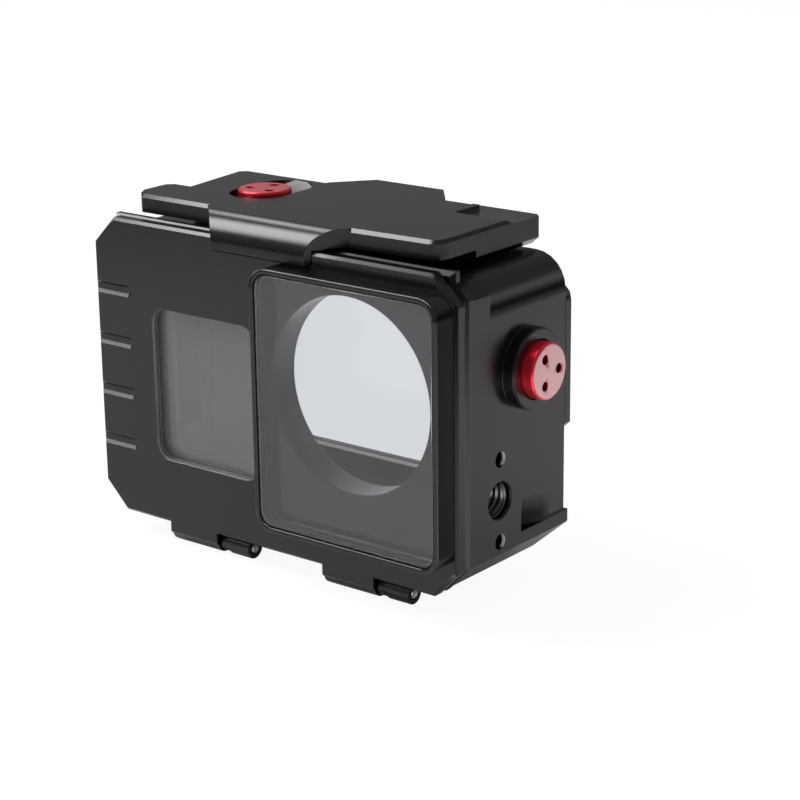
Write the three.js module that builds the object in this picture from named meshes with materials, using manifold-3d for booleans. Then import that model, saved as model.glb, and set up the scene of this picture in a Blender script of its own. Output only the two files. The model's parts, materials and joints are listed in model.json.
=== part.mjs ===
// Underwater housing for an action camera: a deep body closed by a hinged front door, which a latch
// plate on the top holds shut. The door carries a square lens port and a small display window, and
// two sprung push buttons work the camera from the top and from the side.
//
// All lengths are millimetres. While the pieces are made, x = 0 is the middle of the body, y = 0 the
// front face of the door and z = 0 the lower edge of the door. The last lines move the origin to the
// middle of the object's base.
import * as THREE from "three";
import { mergeVertices } from "three/addons/utils/BufferGeometryUtils.js";
import Module from "manifold-3d";

const wasm = await Module();
wasm.setup();

// The whole object
const bodyWidth = 92;
const doorHeight = 62.5;
const clearance = 0.3; // between pieces that touch
const overrun = 1; // how far a cut runs past what it cuts
const weldDistance = 0.0001;

// The door plate and its plug, which fills the mouth of the body
const doorThickness = 2.5;
const doorBevel = 0.57;
const doorCornerCut = 5.7;
const plugDepth = 3.8;
const plugClearance = 0.5;
const grooveCount = 4;
const grooveLength = 9.5;
const grooveWidth = 2.4; // at the door's face
const grooveDepth = 0.6; // its walls slope in by as much
const groovePitch = 10.8;
const lowestGroove = 15.2;

// The body behind the door
const seamWidth = 0.6;
const bodyDepth = 34.85; // from the door's face to the body's rear
const flangeDepth = 2;
const flangeBevel = 0.8;
const shoulderDrop = 2.3; // from the door's top to the body's top
const shoulderRadius = 6.9;
const collarDepth = 7.2;
const collarCut = 3;
const collarCornerDrop = 2.1;
const bottomRise = 0.9;
const bottomCut = 4.8;
const heelReach = 1.45; // the lip along the foot of the rear
const heelTop = 8.3;
const heelBottom = 5.9;

// The camera's chamber
const sideWall = 3.4;
const roofWall = 2.3;
const floorWall = 3.7;
const rearWall = 4.65;
const chamberRadius = 7;
const mainSealWidth = 1.2;
const mainSealEdge = 0.8; // from the chamber's mouth to the seal's groove

// The lens port on the door
const portWidthShare = 0.487; // of the body's width
const portRise = 6.5;
const portDrop = 3.2; // below the door's top
const portReach = 5.25;
const portRadius = 4.2;
const portWall = 1;
const portSeat = 0.5; // the ledge behind the glass
const portFloor = 0.6;
const portGlassThickness = 1.6;
const portGlassInset = 0.2;
const portSealWidth = 0.5;
const portSealThickness = 0.5;
const apertureShare = 0.433; // its radius in the port's narrower side
const apertureAside = 1.4; // from the port's middle towards the display window
const apertureRaiseShare = 0.4375; // of how much taller the port is than wide

// The display window in the door
const displayWidthShare = 0.299; // of the body's width
const displayRadius = 3.3;
const displayAsideShare = 0.1685; // from the door's side, of the body's width
const displayRise = 13.6;
const displayDrop = 17.1; // below the door's top
const displayLip = 0.9;
const displayOverlap = 1.6; // how far the glass reaches behind the lip
const displaySealThickness = 0.5;
const displayGlassThickness = 1.6;
const retainerFlange = 1;
const retainerMargin = 3.3;

// The window in the body's rear and the raised frame that holds it
const rearWindowInset = 18.5; // from each side of the body
const rearWindowRise = 11.2;
const rearWindowDrop = 13.9; // below the door's top
const rearWindowRadius = 3.2;
const rearOverlap = 1.7;
const rearLip = 0.9; // how much the opening in the wall is smaller than the frame's
const rearSealThickness = 0.7;
const rearGlassThickness = 1.55;
const frameThickness = 1.7;
const frameDrop = 8.8; // below the door's top
const frameWingHeight = 28.5;
const frameTopRadius = 3;
const frameWingCut = 1;
const frameFootMargin = 3.4; // beyond the foot's screws
const frameFootGap = 0.6; // above the heel

// Screws, by their heads and shanks
const frameScrew = { head: 1.9, headDepth: 0.9, shank: 0.9, length: 3.2 };
const retainerScrew = { head: 1.4, headDepth: 0.5, shank: 0.7, length: 2.6 };
const screwSlotWidth = 0.5;
const frameScrewInset = 8.5;
const frameScrewDrop = 4.2;
const footScrewInset = 2.9;

// The hinges under the door: a door tab and a body knuckle on one pin, twice
const hingeBack = 2.9; // the axis behind the door's face
const hingeDrop = 1.85; // the axis below the door
const tabRadius = 2.35;
const tabWidth = 12.7;
const tabCut = 2.1;
const knuckleRadius = 2.2;
const knuckleWidth = 5.1;
const knuckleNeckRadius = 1.95;
const knuckleNeck = 2.7; // from the tab to the full width
const hingePitchShare = 0.4413; // of the body's width
const firstTabShare = 0.3; // of the body's width, left of its middle
const hingePinRadius = 1;
const hingePinProud = 0.25;

// The latch plate
const latchRise = 4.3; // its top above the door
const latchThickness = 3.7;
const latchDeepLength = 17.35; // of the thick part, back to the body's rear
const latchTopBevel = 0.7;
const latchLowBevel = 1.25;
const latchFront = 5.2;
const latchFrontRight = 6.2;
const latchFrontRadius = 3;
const latchLeftFrontInset = 11.5; // from the body's side
const latchLeftRearInset = 9.2;
const latchRightInset = 8.4;
const latchRearLeftReach = 0.65; // past the body's rear
const latchRearRightReach = 1.45;
const latchCornerCut = 1.7;
const leftEarInset = 5.8;
const leftEarRootInset = 9.1;
const leftEarFront = 8.4;
const leftEarRear = 16.9;
const rightTabWidth = 13;
const rightTabReach = 4.3; // past the body's rear
const rightTabCut = 1.3;
const rightTabLength = 11.3; // of its lowered top
const rightTabDrop = 0.9;
const rightTabRun = 2.3; // how much wider the tab is at the rear

// The hook at the latch plate's front and the pocket it holds in the door
const hookLeft = -18.8;
const hookRight = 17.1;
const hookReach = 0.95; // in front of the door
const hookDrop = 2.5; // its tip below the door's top
const hookRadius = 5.4;
const hookRoot = 8;
const hookLean = THREE.MathUtils.degToRad(38.5);
const pocketLeft = -13.6;
const pocketRight = 12.3;
const pocketDrop = 2.6;

// The lobe at the latch plate's rear, with the pin that it turns on
const lobeLeft = -13.3;
const lobeRight = 16.9;
const lobeLength = 8.55; // past the body's rear
const lobeSlope = 6.5;
const pivotRadius = 3.9;
const pivotBelow = 4.3; // the pin below the plate's top
const pivotLeft = -9.6;
const pivotRight = 12.6;
const latchPinRadius = 1;
const lugRadius = 2.6;
const lugWidth = 3.3;
const lugDepth = 6.2; // of its foot below the body's top

// The slot in the latch plate round the top button
const slotHalfWidth = 6;
const slotForward = 6.5; // from the button's axis
const slotBack = 6.2;
const slotDishForward = 7.8;
const slotDishBack = 11.6;
const slotDishDepth = 2;

// The two push buttons: each is a hollow cap on a shaft, a clip, a spring, a bushing and two seals
const topButtonInset = 27.5; // from the body's left side
const topButtonRearInset = 13.05; // from the body's rear
const topButton = { radius: 5.45, top: 7.3, height: 5, seat: 0, wall: roofWall };
const sideButtonRearInset = 12.75; // from the body's rear
const sideButtonDrop = 19.4; // below the body's top
const sideButton = { radius: 5.6, top: 5.2, height: 3.3, seat: -0.7, wall: sideWall };
const bossRadius = 8;
const bossHeight = 2.6;
const bossBevel = 0.35;
const capWall = 1;
const capRoof = 1.6;
const capBevel = 0.4;
const dimpleCount = 3;
const dimpleRadius = 0.95;
const dimpleCircle = 3;
const dimpleDepth = 0.8;
const shaftRadius = 1.5;
const shaftTip = 0.8; // the shaft past its clip
const clipRadius = 3.1;
const clipThickness = 0.7;
const clipGroove = 0.4;
const clipMouth = THREE.MathUtils.degToRad(70);
const sleeveRadius = 4.2;
const sleeveFlangeRadius = 5.6;
const sleeveFlange = 1.2;
const sleeveNose = 1.6;
const ringRadius = 0.45;
const firstRingDepth = 1.55;
const ringPitch = 2.1;
const springRadius = 3.2;
const springWire = 0.3;
const springTurns = 3;

// The tripod thread in the body's side, with a blind hole above and below it
const threadY = 13.5;
const threadZ = 16.5;
const threadMouthRadius = 3.6;
const threadMouthBevel = 0.3;
const threadLip = 0.8;
const threadRadius = 3.2;
const threadDepth = 0.5;
const threadPitch = 1.27;
const threadCount = 3;
const insertRadius = 4.6;
const insertEnd = 1;
const insertWall = 2;
const insertFloor = 1.2;
const locatorRadius = 1.6;
const locatorDepth = 2.3;
const locatorPitch = 8.25;

// Scoops in the body's side
const thumbRearInset = 6.95; // from the body's rear
const thumbLength = 7.5;
const thumbTop = 14.7;
const thumbDepth = 1.5;

// Pads that hold the camera
const padThickness = 1.5;
const padFront = 10;
const padRearInset = 5.2; // from the chamber's back
const sidePadInset = 8.4; // from the chamber's floor
const sidePadDrop = 10.9; // from the chamber's roof
const floorPadWidth = 14;
const floorPadInset = 12;
const padRadius = 1.2;

// Steps on curves: a quarter arc of a corner, a small bore, a seal, a button and a large bore
const arcSteps = 3;
const boreSteps = 16;
const ringSteps = 8;
const buttonSteps = 32;
const apertureSteps = 72;
const quarterTurn = Math.PI / 2;

// Places that follow from the sizes
const halfWidth = bodyWidth / 2;
const reach = 2 * bodyWidth;
const plugBack = doorThickness + plugDepth;
const bodyFront = doorThickness + seamWidth;
const flangeBack = bodyFront + flangeDepth;
const bodyTop = doorHeight - shoulderDrop;
const latchTop = doorHeight + latchRise;
const latchUnder = latchTop - latchThickness;
const latchDeepUnder = bodyTop + clearance;
const latchDeepFrom = bodyDepth - latchDeepLength;
const latchRight = halfWidth - latchRightInset;
const latchRearLeft = bodyDepth + latchRearLeftReach;
const latchRearRight = bodyDepth + latchRearRightReach;
const rightTabRear = bodyDepth + rightTabReach;
const rightTabLeft = latchRight - rightTabWidth - rightTabRun;
const lobeReach = bodyDepth + lobeLength;
const pivotY = lobeReach - pivotRadius;
const pivotZ = latchTop - pivotBelow;
const hingeZ = -hingeDrop;
const topButtonX = topButtonInset - halfWidth;
const topButtonY = bodyDepth - topButtonRearInset;
const sideButtonY = bodyDepth - sideButtonRearInset;
const sideButtonZ = bodyTop - sideButtonDrop;
const chamber = {
  left: sideWall - halfWidth,
  right: halfWidth - sideWall,
  bottom: bottomRise + floorWall,
  top: bodyTop - roofWall,
  radius: chamberRadius,
};
const chamberBack = bodyDepth - rearWall;
const portWidth = portWidthShare * bodyWidth;
const port = {
  left: halfWidth - doorBevel - portWidth,
  right: halfWidth - doorBevel,
  bottom: portRise,
  top: doorHeight - portDrop,
  radius: portRadius,
};
const portHeight = port.top - port.bottom;
const apertureRadius = apertureShare * Math.min(portWidth, portHeight);
const apertureX = (port.left + port.right) / 2 - apertureAside;
const apertureZ = (port.bottom + port.top) / 2 + apertureRaiseShare * (portHeight - portWidth);
const displayLeft = displayAsideShare * bodyWidth - halfWidth;
const display = {
  left: displayLeft,
  right: displayLeft + displayWidthShare * bodyWidth,
  bottom: displayRise,
  top: doorHeight - displayDrop,
  radius: displayRadius,
};
const rearWindow = {
  left: rearWindowInset - halfWidth,
  right: halfWidth - rearWindowInset,
  bottom: rearWindowRise,
  top: doorHeight - rearWindowDrop,
  radius: rearWindowRadius,
};
const frameTop = doorHeight - frameDrop;
const frameWingBottom = frameTop - frameWingHeight;
const footScrewX = rearWindow.right + rearOverlap + footScrewInset;
const rearRecess = rearSealThickness + rearGlassThickness + 2 * clearance;

// Finishes
const anodised = { color: 0x1d1d1f, roughness: 0.42, metalness: 0.55 };
const redAnodised = { color: 0xa3141f, roughness: 0.32, metalness: 0.75 };
const steel = { color: 0xb9bbbd, roughness: 0.28, metalness: 1 };
const rubber = { color: 0x111112, roughness: 0.8, metalness: 0 };
const clearGlass = { color: 0xb8c4cc, roughness: 0.05, metalness: 0, opacity: 0.3, transparent: true };
const polymer = { color: 0x26262a, roughness: 0.6, metalness: 0 };

// Solids: a closed geometry with its shared points merged, and back again
function solid(geometry) {
  const bare = geometry.clone();
  bare.deleteAttribute("normal");
  bare.deleteAttribute("uv");
  const merged = mergeVertices(bare, weldDistance);
  const vertProperties = merged.attributes.position.array;
  const triVerts = new Uint32Array(merged.index.array);
  return new wasm.Manifold(new wasm.Mesh({ numProp: 3, vertProperties, triVerts }));
}

function joined(first, ...others) {
  return others.reduce((all, other) => all.add(other), first);
}

function cut(base, ...tools) {
  return tools.reduce((rest, tool) => rest.subtract(tool), base);
}

function piece(name, made, finish) {
  const mesh = made.getMesh();
  const geometry = new THREE.BufferGeometry();
  geometry.setAttribute("position", new THREE.BufferAttribute(mesh.vertProperties, 3));
  geometry.setIndex(new THREE.BufferAttribute(mesh.triVerts, 1));
  geometry.computeVertexNormals();
  const node = new THREE.Mesh(geometry, new THREE.MeshStandardMaterial(finish));
  node.name = name;
  return node;
}

// Extrusions along z, along y (an outline in x and z) and along x (an outline in y and z)
const xAxis = new THREE.Vector3(1, 0, 0);
const yAxis = new THREE.Vector3(0, 1, 0);
const zAxis = new THREE.Vector3(0, 0, 1);
const facingY = new THREE.Matrix4().makeBasis(xAxis, zAxis, yAxis.clone().negate());
const facingX = new THREE.Matrix4().makeBasis(yAxis, zAxis, xAxis);

function extruded(shape, length, bevel, steps) {
  const settings = {
    depth: length - 2 * bevel,
    steps: 1,
    curveSegments: steps,
    bevelEnabled: bevel > 0,
    bevelThickness: bevel,
    bevelSize: bevel,
    bevelOffset: -bevel,
    bevelSegments: 1,
  };
  return new THREE.ExtrudeGeometry(shape, settings).translate(0, 0, bevel);
}

function slab(shape, bottom, top, bevel = 0, steps = arcSteps) {
  return solid(extruded(shape, top - bottom, bevel, steps).translate(0, 0, bottom));
}

function plate(shape, front, back, bevel = 0, steps = arcSteps) {
  const made = extruded(shape, back - front, bevel, steps);
  return solid(made.applyMatrix4(facingY).translate(0, back, 0));
}

function bar(shape, left, right, bevel = 0, steps = arcSteps) {
  const made = extruded(shape, right - left, bevel, steps);
  return solid(made.applyMatrix4(facingX).translate(left, 0, 0));
}

function block(left, right, front, back, bottom, top) {
  const made = new THREE.BoxGeometry(right - left, back - front, top - bottom);
  made.translate((left + right) / 2, (front + back) / 2, (bottom + top) / 2);
  return solid(made);
}

// A plate with a bevel round its front edge alone
function frontBevelled(shape, front, back, bevel) {
  const long = plate(shape, front, back + 2 * bevel, bevel);
  return cut(long, block(-reach, reach, back, back + reach, -reach, reach));
}

// Outlines
function polygon(points) {
  return new THREE.Shape(points.map(([across, up]) => new THREE.Vector2(across, up)));
}

function rounded(area, grow = 0) {
  const radius = area.radius + grow;
  const left = area.left - grow + radius;
  const right = area.right + grow - radius;
  const bottom = area.bottom - grow + radius;
  const top = area.top + grow - radius;
  const shape = new THREE.Shape();
  shape.absarc(right, top, radius, 0, quarterTurn);
  shape.absarc(left, top, radius, quarterTurn, 2 * quarterTurn);
  shape.absarc(left, bottom, radius, 2 * quarterTurn, 3 * quarterTurn);
  shape.absarc(right, bottom, radius, 3 * quarterTurn, 4 * quarterTurn);
  shape.closePath();
  return shape;
}

function roundedRing(area, outer, inner) {
  const shape = rounded(area, outer);
  shape.holes.push(rounded(area, inner));
  return shape;
}

function disc(across, up, radius) {
  const shape = new THREE.Shape();
  shape.absarc(across, up, radius, 0, 4 * quarterTurn);
  return shape;
}

// A polygon whose corners are eased: each point gives how far along its sides the curve starts
function eased(points) {
  const shape = new THREE.Shape();
  const corners = points.map(([across, up, ease = 0]) => ({ at: new THREE.Vector2(across, up), ease }));
  corners.forEach((corner, index) => {
    const before = corners.at(index - 1).at;
    const after = corners[(index + 1) % corners.length].at;
    const start = corner.at.clone().add(before.clone().sub(corner.at).setLength(corner.ease));
    const end = corner.at.clone().add(after.clone().sub(corner.at).setLength(corner.ease));
    if (index === 0) shape.moveTo(start.x, start.y);
    else shape.lineTo(start.x, start.y);
    if (corner.ease > 0) shape.quadraticCurveTo(corner.at.x, corner.at.y, end.x, end.y);
  });
  shape.closePath();
  return shape;
}

// Round bars and turned pieces. A profile gives radius and height from the axis's foot to its head.
function roundBar(across, up, radius, left, right, steps = boreSteps) {
  return bar(disc(across, up, radius), left, right, 0, steps / 2);
}

function boreY(x, z, radius, front, back, steps = boreSteps) {
  return plate(disc(x, z, radius), front, back, 0, steps / 2);
}

function turned(profile, steps = buttonSteps) {
  const points = profile.map(([radius, height]) => new THREE.Vector2(radius, height));
  return solid(new THREE.LatheGeometry(points, steps).rotateX(quarterTurn));
}

// The door's outline, shared by the door and the body's flange
function doorOutline() {
  const right = halfWidth - doorCornerCut;
  const top = doorHeight - doorCornerCut;
  return polygon([
    [-right, 0],
    [right, 0],
    [halfWidth, doorCornerCut],
    [halfWidth, top],
    [right, doorHeight],
    [-right, doorHeight],
    [-halfWidth, top],
    [-halfWidth, doorCornerCut],
  ]);
}

// The flange keeps the door's lower corners and has squarer upper ones
function flangeOutline() {
  const foot = halfWidth - doorCornerCut;
  const shoulder = halfWidth - collarCut;
  const step = doorHeight - collarCornerDrop;
  return polygon([
    [-foot, 0],
    [foot, 0],
    [halfWidth, doorCornerCut],
    [halfWidth, step - collarCut],
    [shoulder, step],
    [shoulder, doorHeight],
    [-shoulder, doorHeight],
    [-shoulder, step],
    [-halfWidth, step - collarCut],
    [-halfWidth, doorCornerCut],
  ]);
}

function collarOutline() {
  const foot = halfWidth - bottomCut;
  const shoulder = halfWidth - collarCut;
  const step = bodyTop - collarCut;
  return polygon([
    [-foot, bottomRise],
    [foot, bottomRise],
    [halfWidth, bottomRise + bottomCut],
    [halfWidth, step],
    [shoulder, bodyTop],
    [-shoulder, bodyTop],
    [-halfWidth, step],
    [-halfWidth, bottomRise + bottomCut],
  ]);
}

function bodyOutline() {
  const foot = halfWidth - bottomCut;
  const centre = halfWidth - shoulderRadius;
  const level = bodyTop - shoulderRadius;
  const shape = new THREE.Shape();
  shape.moveTo(-foot, bottomRise);
  shape.lineTo(foot, bottomRise);
  shape.lineTo(halfWidth, bottomRise + bottomCut);
  shape.absarc(centre, level, shoulderRadius, 0, quarterTurn);
  shape.absarc(-centre, level, shoulderRadius, quarterTurn, 2 * quarterTurn);
  shape.lineTo(-halfWidth, bottomRise + bottomCut);
  shape.closePath();
  return shape;
}

// Hinges: the side of each tab on which the pin's far end is, and the knuckle beside it
function hinge(index) {
  const tabLeft = (index * hingePitchShare - firstTabShare) * bodyWidth;
  const tabRight = tabLeft + tabWidth;
  const neckLeft = tabRight + clearance;
  const knuckleLeft = tabRight + knuckleNeck;
  return { tabLeft, tabRight, neckLeft, knuckleLeft, knuckleRight: knuckleLeft + knuckleWidth };
}

const hinges = [hinge(0), hinge(1)];
const hingeBore = hingePinRadius + clearance;

function doorTab({ tabLeft, tabRight }) {
  const web = polygon([
    [0, doorBevel + overrun],
    [0, hingeZ],
    [tabCut, hingeZ - tabCut],
    [hingeBack, hingeZ - tabRadius],
    [hingeBack, 0],
    [doorThickness, 0],
    [doorThickness, doorBevel + overrun],
  ]);
  const barrel = roundBar(hingeBack, hingeZ, tabRadius, tabLeft, tabRight);
  return joined(bar(web, tabLeft, tabRight), barrel);
}

function bodyKnuckle({ neckLeft, knuckleLeft, knuckleRight }) {
  const web = block(knuckleLeft, knuckleRight, bodyFront, flangeBack, hingeZ, flangeBevel + overrun);
  const neck = roundBar(hingeBack, hingeZ, knuckleNeckRadius, neckLeft, knuckleLeft + overrun);
  return joined(web, neck, roundBar(hingeBack, hingeZ, knuckleRadius, knuckleLeft, knuckleRight));
}

// Room in the door round the knuckle, and in the flange round the tab
function hingeScallop(radius, left, right) {
  return roundBar(hingeBack, hingeZ, radius + clearance, left - clearance, right + clearance);
}

function hingePins() {
  return hinges.map(({ tabLeft, knuckleRight }, index) => {
    const left = tabLeft - hingePinProud;
    const right = knuckleRight + hingePinProud;
    const pin = roundBar(hingeBack, hingeZ, hingePinRadius, left, right);
    return piece("hinge_pin_" + ["left", "right"][index], pin, steel);
  });
}

// Body
function rearHeel() {
  const back = bodyDepth + heelReach;
  return [
    block(-reach, reach, bodyDepth, back + overrun, heelTop, reach),
    bar(
      polygon([
        [back - heelBottom - overrun, -overrun],
        [back + overrun, heelBottom + overrun],
        [back + overrun, -overrun],
      ]),
      -reach,
      reach,
    ),
  ];
}

function latchLug(left, right) {
  const foot = polygon([
    [bodyDepth - overrun, bodyTop - lugDepth],
    [bodyDepth, bodyTop - lugDepth],
    [pivotY + lugRadius * Math.SQRT1_2, pivotZ - lugRadius * Math.SQRT1_2],
    [pivotY, pivotZ],
    [pivotY - lugRadius * Math.SQRT1_2, bodyTop],
    [bodyDepth - overrun, bodyTop],
  ]);
  return joined(bar(foot, left, right), roundBar(pivotY, pivotZ, lugRadius, left, right));
}

const lugs = [
  [pivotLeft - clearance - lugWidth, pivotLeft - clearance],
  [pivotRight + clearance, pivotRight + clearance + lugWidth],
];

function thumbScoop() {
  const thumbFront = bodyDepth - thumbRearInset - thumbLength;
  const outline = polygon([
    [halfWidth, thumbFront],
    [halfWidth - thumbDepth, thumbFront],
    [halfWidth, thumbFront + thumbLength],
    [halfWidth + overrun, thumbFront + thumbLength],
    [halfWidth + overrun, thumbFront],
  ]);
  return slab(outline, heelTop, thumbTop);
}

// A round hole or boss along x at the body's right side
function sideRound(y, z, radius, left, right, steps = boreSteps) {
  return roundBar(y, z, radius, left, right, steps);
}

function sideBoss() {
  const made = turned([
    [0, -overrun],
    [bossRadius, -overrun],
    [bossRadius, bossHeight - bossBevel],
    [bossRadius - bossBevel, bossHeight],
    [0, bossHeight],
  ]);
  return made.rotate([0, 90, 0]).translate([halfWidth, sideButtonY, sideButtonZ]);
}

function sideButtonBores() {
  const floor = halfWidth + sideButton.seat;
  const capRoom = sideButton.radius + clearance;
  const outside = halfWidth + bossHeight + overrun;
  return [
    sideRound(sideButtonY, sideButtonZ, capRoom, floor, outside, buttonSteps),
    sideRound(sideButtonY, sideButtonZ, sleeveRadius + clearance, chamber.right - overrun, outside),
  ];
}

function topButtonBore() {
  const hole = disc(topButtonX, topButtonY, sleeveRadius + clearance);
  return slab(hole, chamber.top - overrun, bodyTop + overrun, 0, boreSteps / 2);
}

const insertMouth = halfWidth - threadLip - clearance;
const insertLength = insertEnd + threadPitch * threadCount + threadPitch / 2;
const insertBack = insertMouth - insertLength;

function threadHousing() {
  const radius = insertRadius + clearance + insertWall;
  const floor = insertBack - clearance - insertFloor;
  return sideRound(threadY, threadZ, radius, floor, chamber.right + overrun, buttonSteps);
}

function threadBores() {
  const mouth = turned([
    [0, -threadLip - overrun],
    [threadMouthRadius, -threadLip - overrun],
    [threadMouthRadius, -threadMouthBevel],
    [threadMouthRadius + threadMouthBevel + overrun, overrun],
    [0, overrun],
  ]);
  const pocket = insertRadius + clearance;
  const locatorEnd = halfWidth - locatorDepth;
  const locator = sideRound(threadY, threadZ, locatorRadius, locatorEnd, halfWidth + overrun);
  return [
    mouth.rotate([0, 90, 0]).translate([halfWidth, threadY, threadZ]),
    sideRound(threadY, threadZ, pocket, insertBack - clearance, insertMouth + clearance, buttonSteps),
    locator.translate([0, 0, -locatorPitch]),
    locator.translate([0, 0, locatorPitch]),
  ];
}

function frameScrewPlaces() {
  const side = halfWidth - frameScrewInset;
  return [
    [-side, frameTop - frameScrewDrop],
    [side, frameTop - frameScrewDrop],
    [-side, frameWingBottom + frameScrewDrop],
    [side, frameWingBottom + frameScrewDrop],
    [-footScrewX, rearWindow.bottom],
    [footScrewX, rearWindow.bottom],
  ];
}

function mainSealGroove() {
  const width = mainSealWidth + 2 * clearance;
  const ring = roundedRing(chamber, mainSealEdge + width, mainSealEdge);
  return plate(ring, bodyFront - overrun, bodyFront + mainSealWidth);
}

function rearWindowCuts() {
  const glassRoom = rearOverlap + clearance;
  return [
    plate(rounded(rearWindow, -rearLip), chamberBack - overrun, bodyDepth + overrun),
    plate(rounded(rearWindow, glassRoom), bodyDepth - rearRecess, bodyDepth + overrun),
  ];
}

function mainHousing() {
  const heel = bodyDepth + heelReach;
  const shell = cut(plate(bodyOutline(), bodyFront + flangeBevel, heel), ...rearHeel());
  const collar = plate(collarOutline(), bodyFront + flangeBevel, bodyFront + collarDepth);
  const flange = frontBevelled(flangeOutline(), bodyFront, flangeBack, flangeBevel);
  const outside = joined(shell, collar, flange, sideBoss(), ...hinges.map(bodyKnuckle));
  const lugged = joined(outside, ...lugs.map(([left, right]) => latchLug(left, right)));
  const hollow = cut(lugged, plate(rounded(chamber), bodyFront - overrun, chamberBack));
  const housing = joined(hollow, threadHousing());
  const shank = frameScrew.shank + clearance;
  const screwBack = bodyDepth - frameScrew.length;
  return cut(
    housing,
    mainSealGroove(),
    ...rearWindowCuts(),
    ...sideButtonBores(),
    topButtonBore(),
    ...threadBores(),
    thumbScoop(),
    ...hinges.map(({ tabLeft, tabRight }) => hingeScallop(tabRadius, tabLeft, tabRight)),
    ...hinges.map(({ neckLeft, knuckleRight }) =>
      roundBar(hingeBack, hingeZ, hingeBore, neckLeft - overrun, knuckleRight + overrun),
    ),
    ...lugs.map(([left, right]) => {
      const bore = latchPinRadius + clearance;
      return roundBar(pivotY, pivotZ, bore, left - overrun, right + overrun);
    }),
    ...frameScrewPlaces().map(([x, z]) => boreY(x, z, shank, screwBack, bodyDepth + overrun)),
  );
}

function mainSeal() {
  const inner = mainSealEdge + clearance;
  const ring = roundedRing(chamber, inner + mainSealWidth, inner);
  const front = bodyFront - clearance;
  const bevel = mainSealWidth / 4;
  return plate(ring, front, front + mainSealWidth, bevel);
}

// Screws stand in a hole along y: their heads face the rear
function screw(name, x, z, seat, size) {
  const head = boreY(x, z, size.head, seat, seat + size.headDepth, boreSteps);
  const shank = boreY(x, z, size.shank, seat - size.length + clearance, seat + size.headDepth / 2);
  const half = screwSlotWidth / 2;
  const slot = block(
    x - size.head - overrun,
    x + size.head + overrun,
    seat + size.headDepth / 2,
    seat + size.headDepth + overrun,
    z - half,
    z + half,
  );
  return piece(name, cut(joined(head, shank), slot), steel);
}

// Rear window
function rearFrame() {
  const foot = footScrewX + frameFootMargin;
  const front = bodyDepth + clearance;
  const back = front + frameThickness;
  const outline = eased([
    [-foot, heelTop + frameFootGap],
    [foot, heelTop + frameFootGap],
    [foot, frameWingBottom],
    [halfWidth - frameWingCut, frameWingBottom],
    [halfWidth, frameWingBottom + frameWingCut],
    [halfWidth, frameTop, frameTopRadius],
    [-halfWidth, frameTop, frameTopRadius],
    [-halfWidth, frameWingBottom + frameWingCut],
    [frameWingCut - halfWidth, frameWingBottom],
    [-foot, frameWingBottom],
  ]);
  outline.holes.push(rounded(rearWindow));
  const headSeat = back - frameScrew.headDepth;
  const holes = frameScrewPlaces().flatMap(([x, z]) => [
    boreY(x, z, frameScrew.shank + clearance, front - overrun, back + overrun),
    boreY(x, z, frameScrew.head + clearance, headSeat - clearance, back + overrun),
  ]);
  return cut(plate(outline, front, back), ...holes);
}

function rearWindowPieces() {
  const sealFront = bodyDepth - rearRecess + clearance;
  const glassFront = sealFront + rearSealThickness + clearance;
  const ring = roundedRing(rearWindow, rearOverlap, -rearLip);
  const seal = plate(ring, sealFront, sealFront + rearSealThickness);
  const glass = plate(rounded(rearWindow, rearOverlap), glassFront, glassFront + rearGlassThickness);
  const headSeat = bodyDepth + clearance + frameThickness - frameScrew.headDepth;
  return [
    piece("rear_window_frame", rearFrame(), anodised),
    piece("rear_window_seal", seal, rubber),
    piece("rear_window_glass", glass, clearGlass),
    ...frameScrewPlaces().map(([x, z], index) =>
      screw("rear_frame_screw_" + (index + 1), x, z, headSeat, frameScrew),
    ),
  ];
}

// Door
function gripGroove(index) {
  const level = lowestGroove + index * groovePitch;
  const half = grooveWidth / 2;
  const start = -halfWidth - grooveDepth - overrun;
  const end = grooveLength + doorBevel - halfWidth - half;
  const shape = new THREE.Shape();
  shape.moveTo(start, level - half);
  shape.lineTo(end, level - half);
  shape.absarc(end, level, half, -quarterTurn, quarterTurn);
  shape.lineTo(start, level + half);
  shape.closePath();
  return plate(shape, -2 * grooveDepth, grooveDepth, grooveDepth);
}

const leanRun = Math.tan(hookLean);
const pocketFoot = doorHeight - pocketDrop;

function latchPocket() {
  const top = doorHeight + overrun;
  const outline = polygon([
    [-overrun, pocketFoot],
    [0, pocketFoot],
    [(top - pocketFoot) * leanRun, top],
    [-overrun, top],
  ]);
  return bar(outline, pocketLeft, pocketRight);
}

function aperture(front, back) {
  return boreY(apertureX, apertureZ, apertureRadius, front, back, apertureSteps);
}

const retainerLeft = display.left - displayOverlap - clearance - retainerMargin;
const retainerRight = display.right + displayOverlap + clearance;
const retainerBottom = display.bottom - displayOverlap - clearance - retainerMargin;
const retainerTop = display.top + displayOverlap + clearance + retainerMargin;

function retainerScrewPlaces() {
  const inset = retainerMargin / 2;
  const left = retainerLeft + inset;
  const right = retainerRight - 2 * inset;
  return [
    [left, retainerBottom + inset],
    [right, retainerBottom + inset],
    [right, retainerTop - inset],
    [left, retainerTop - inset],
  ];
}

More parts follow.
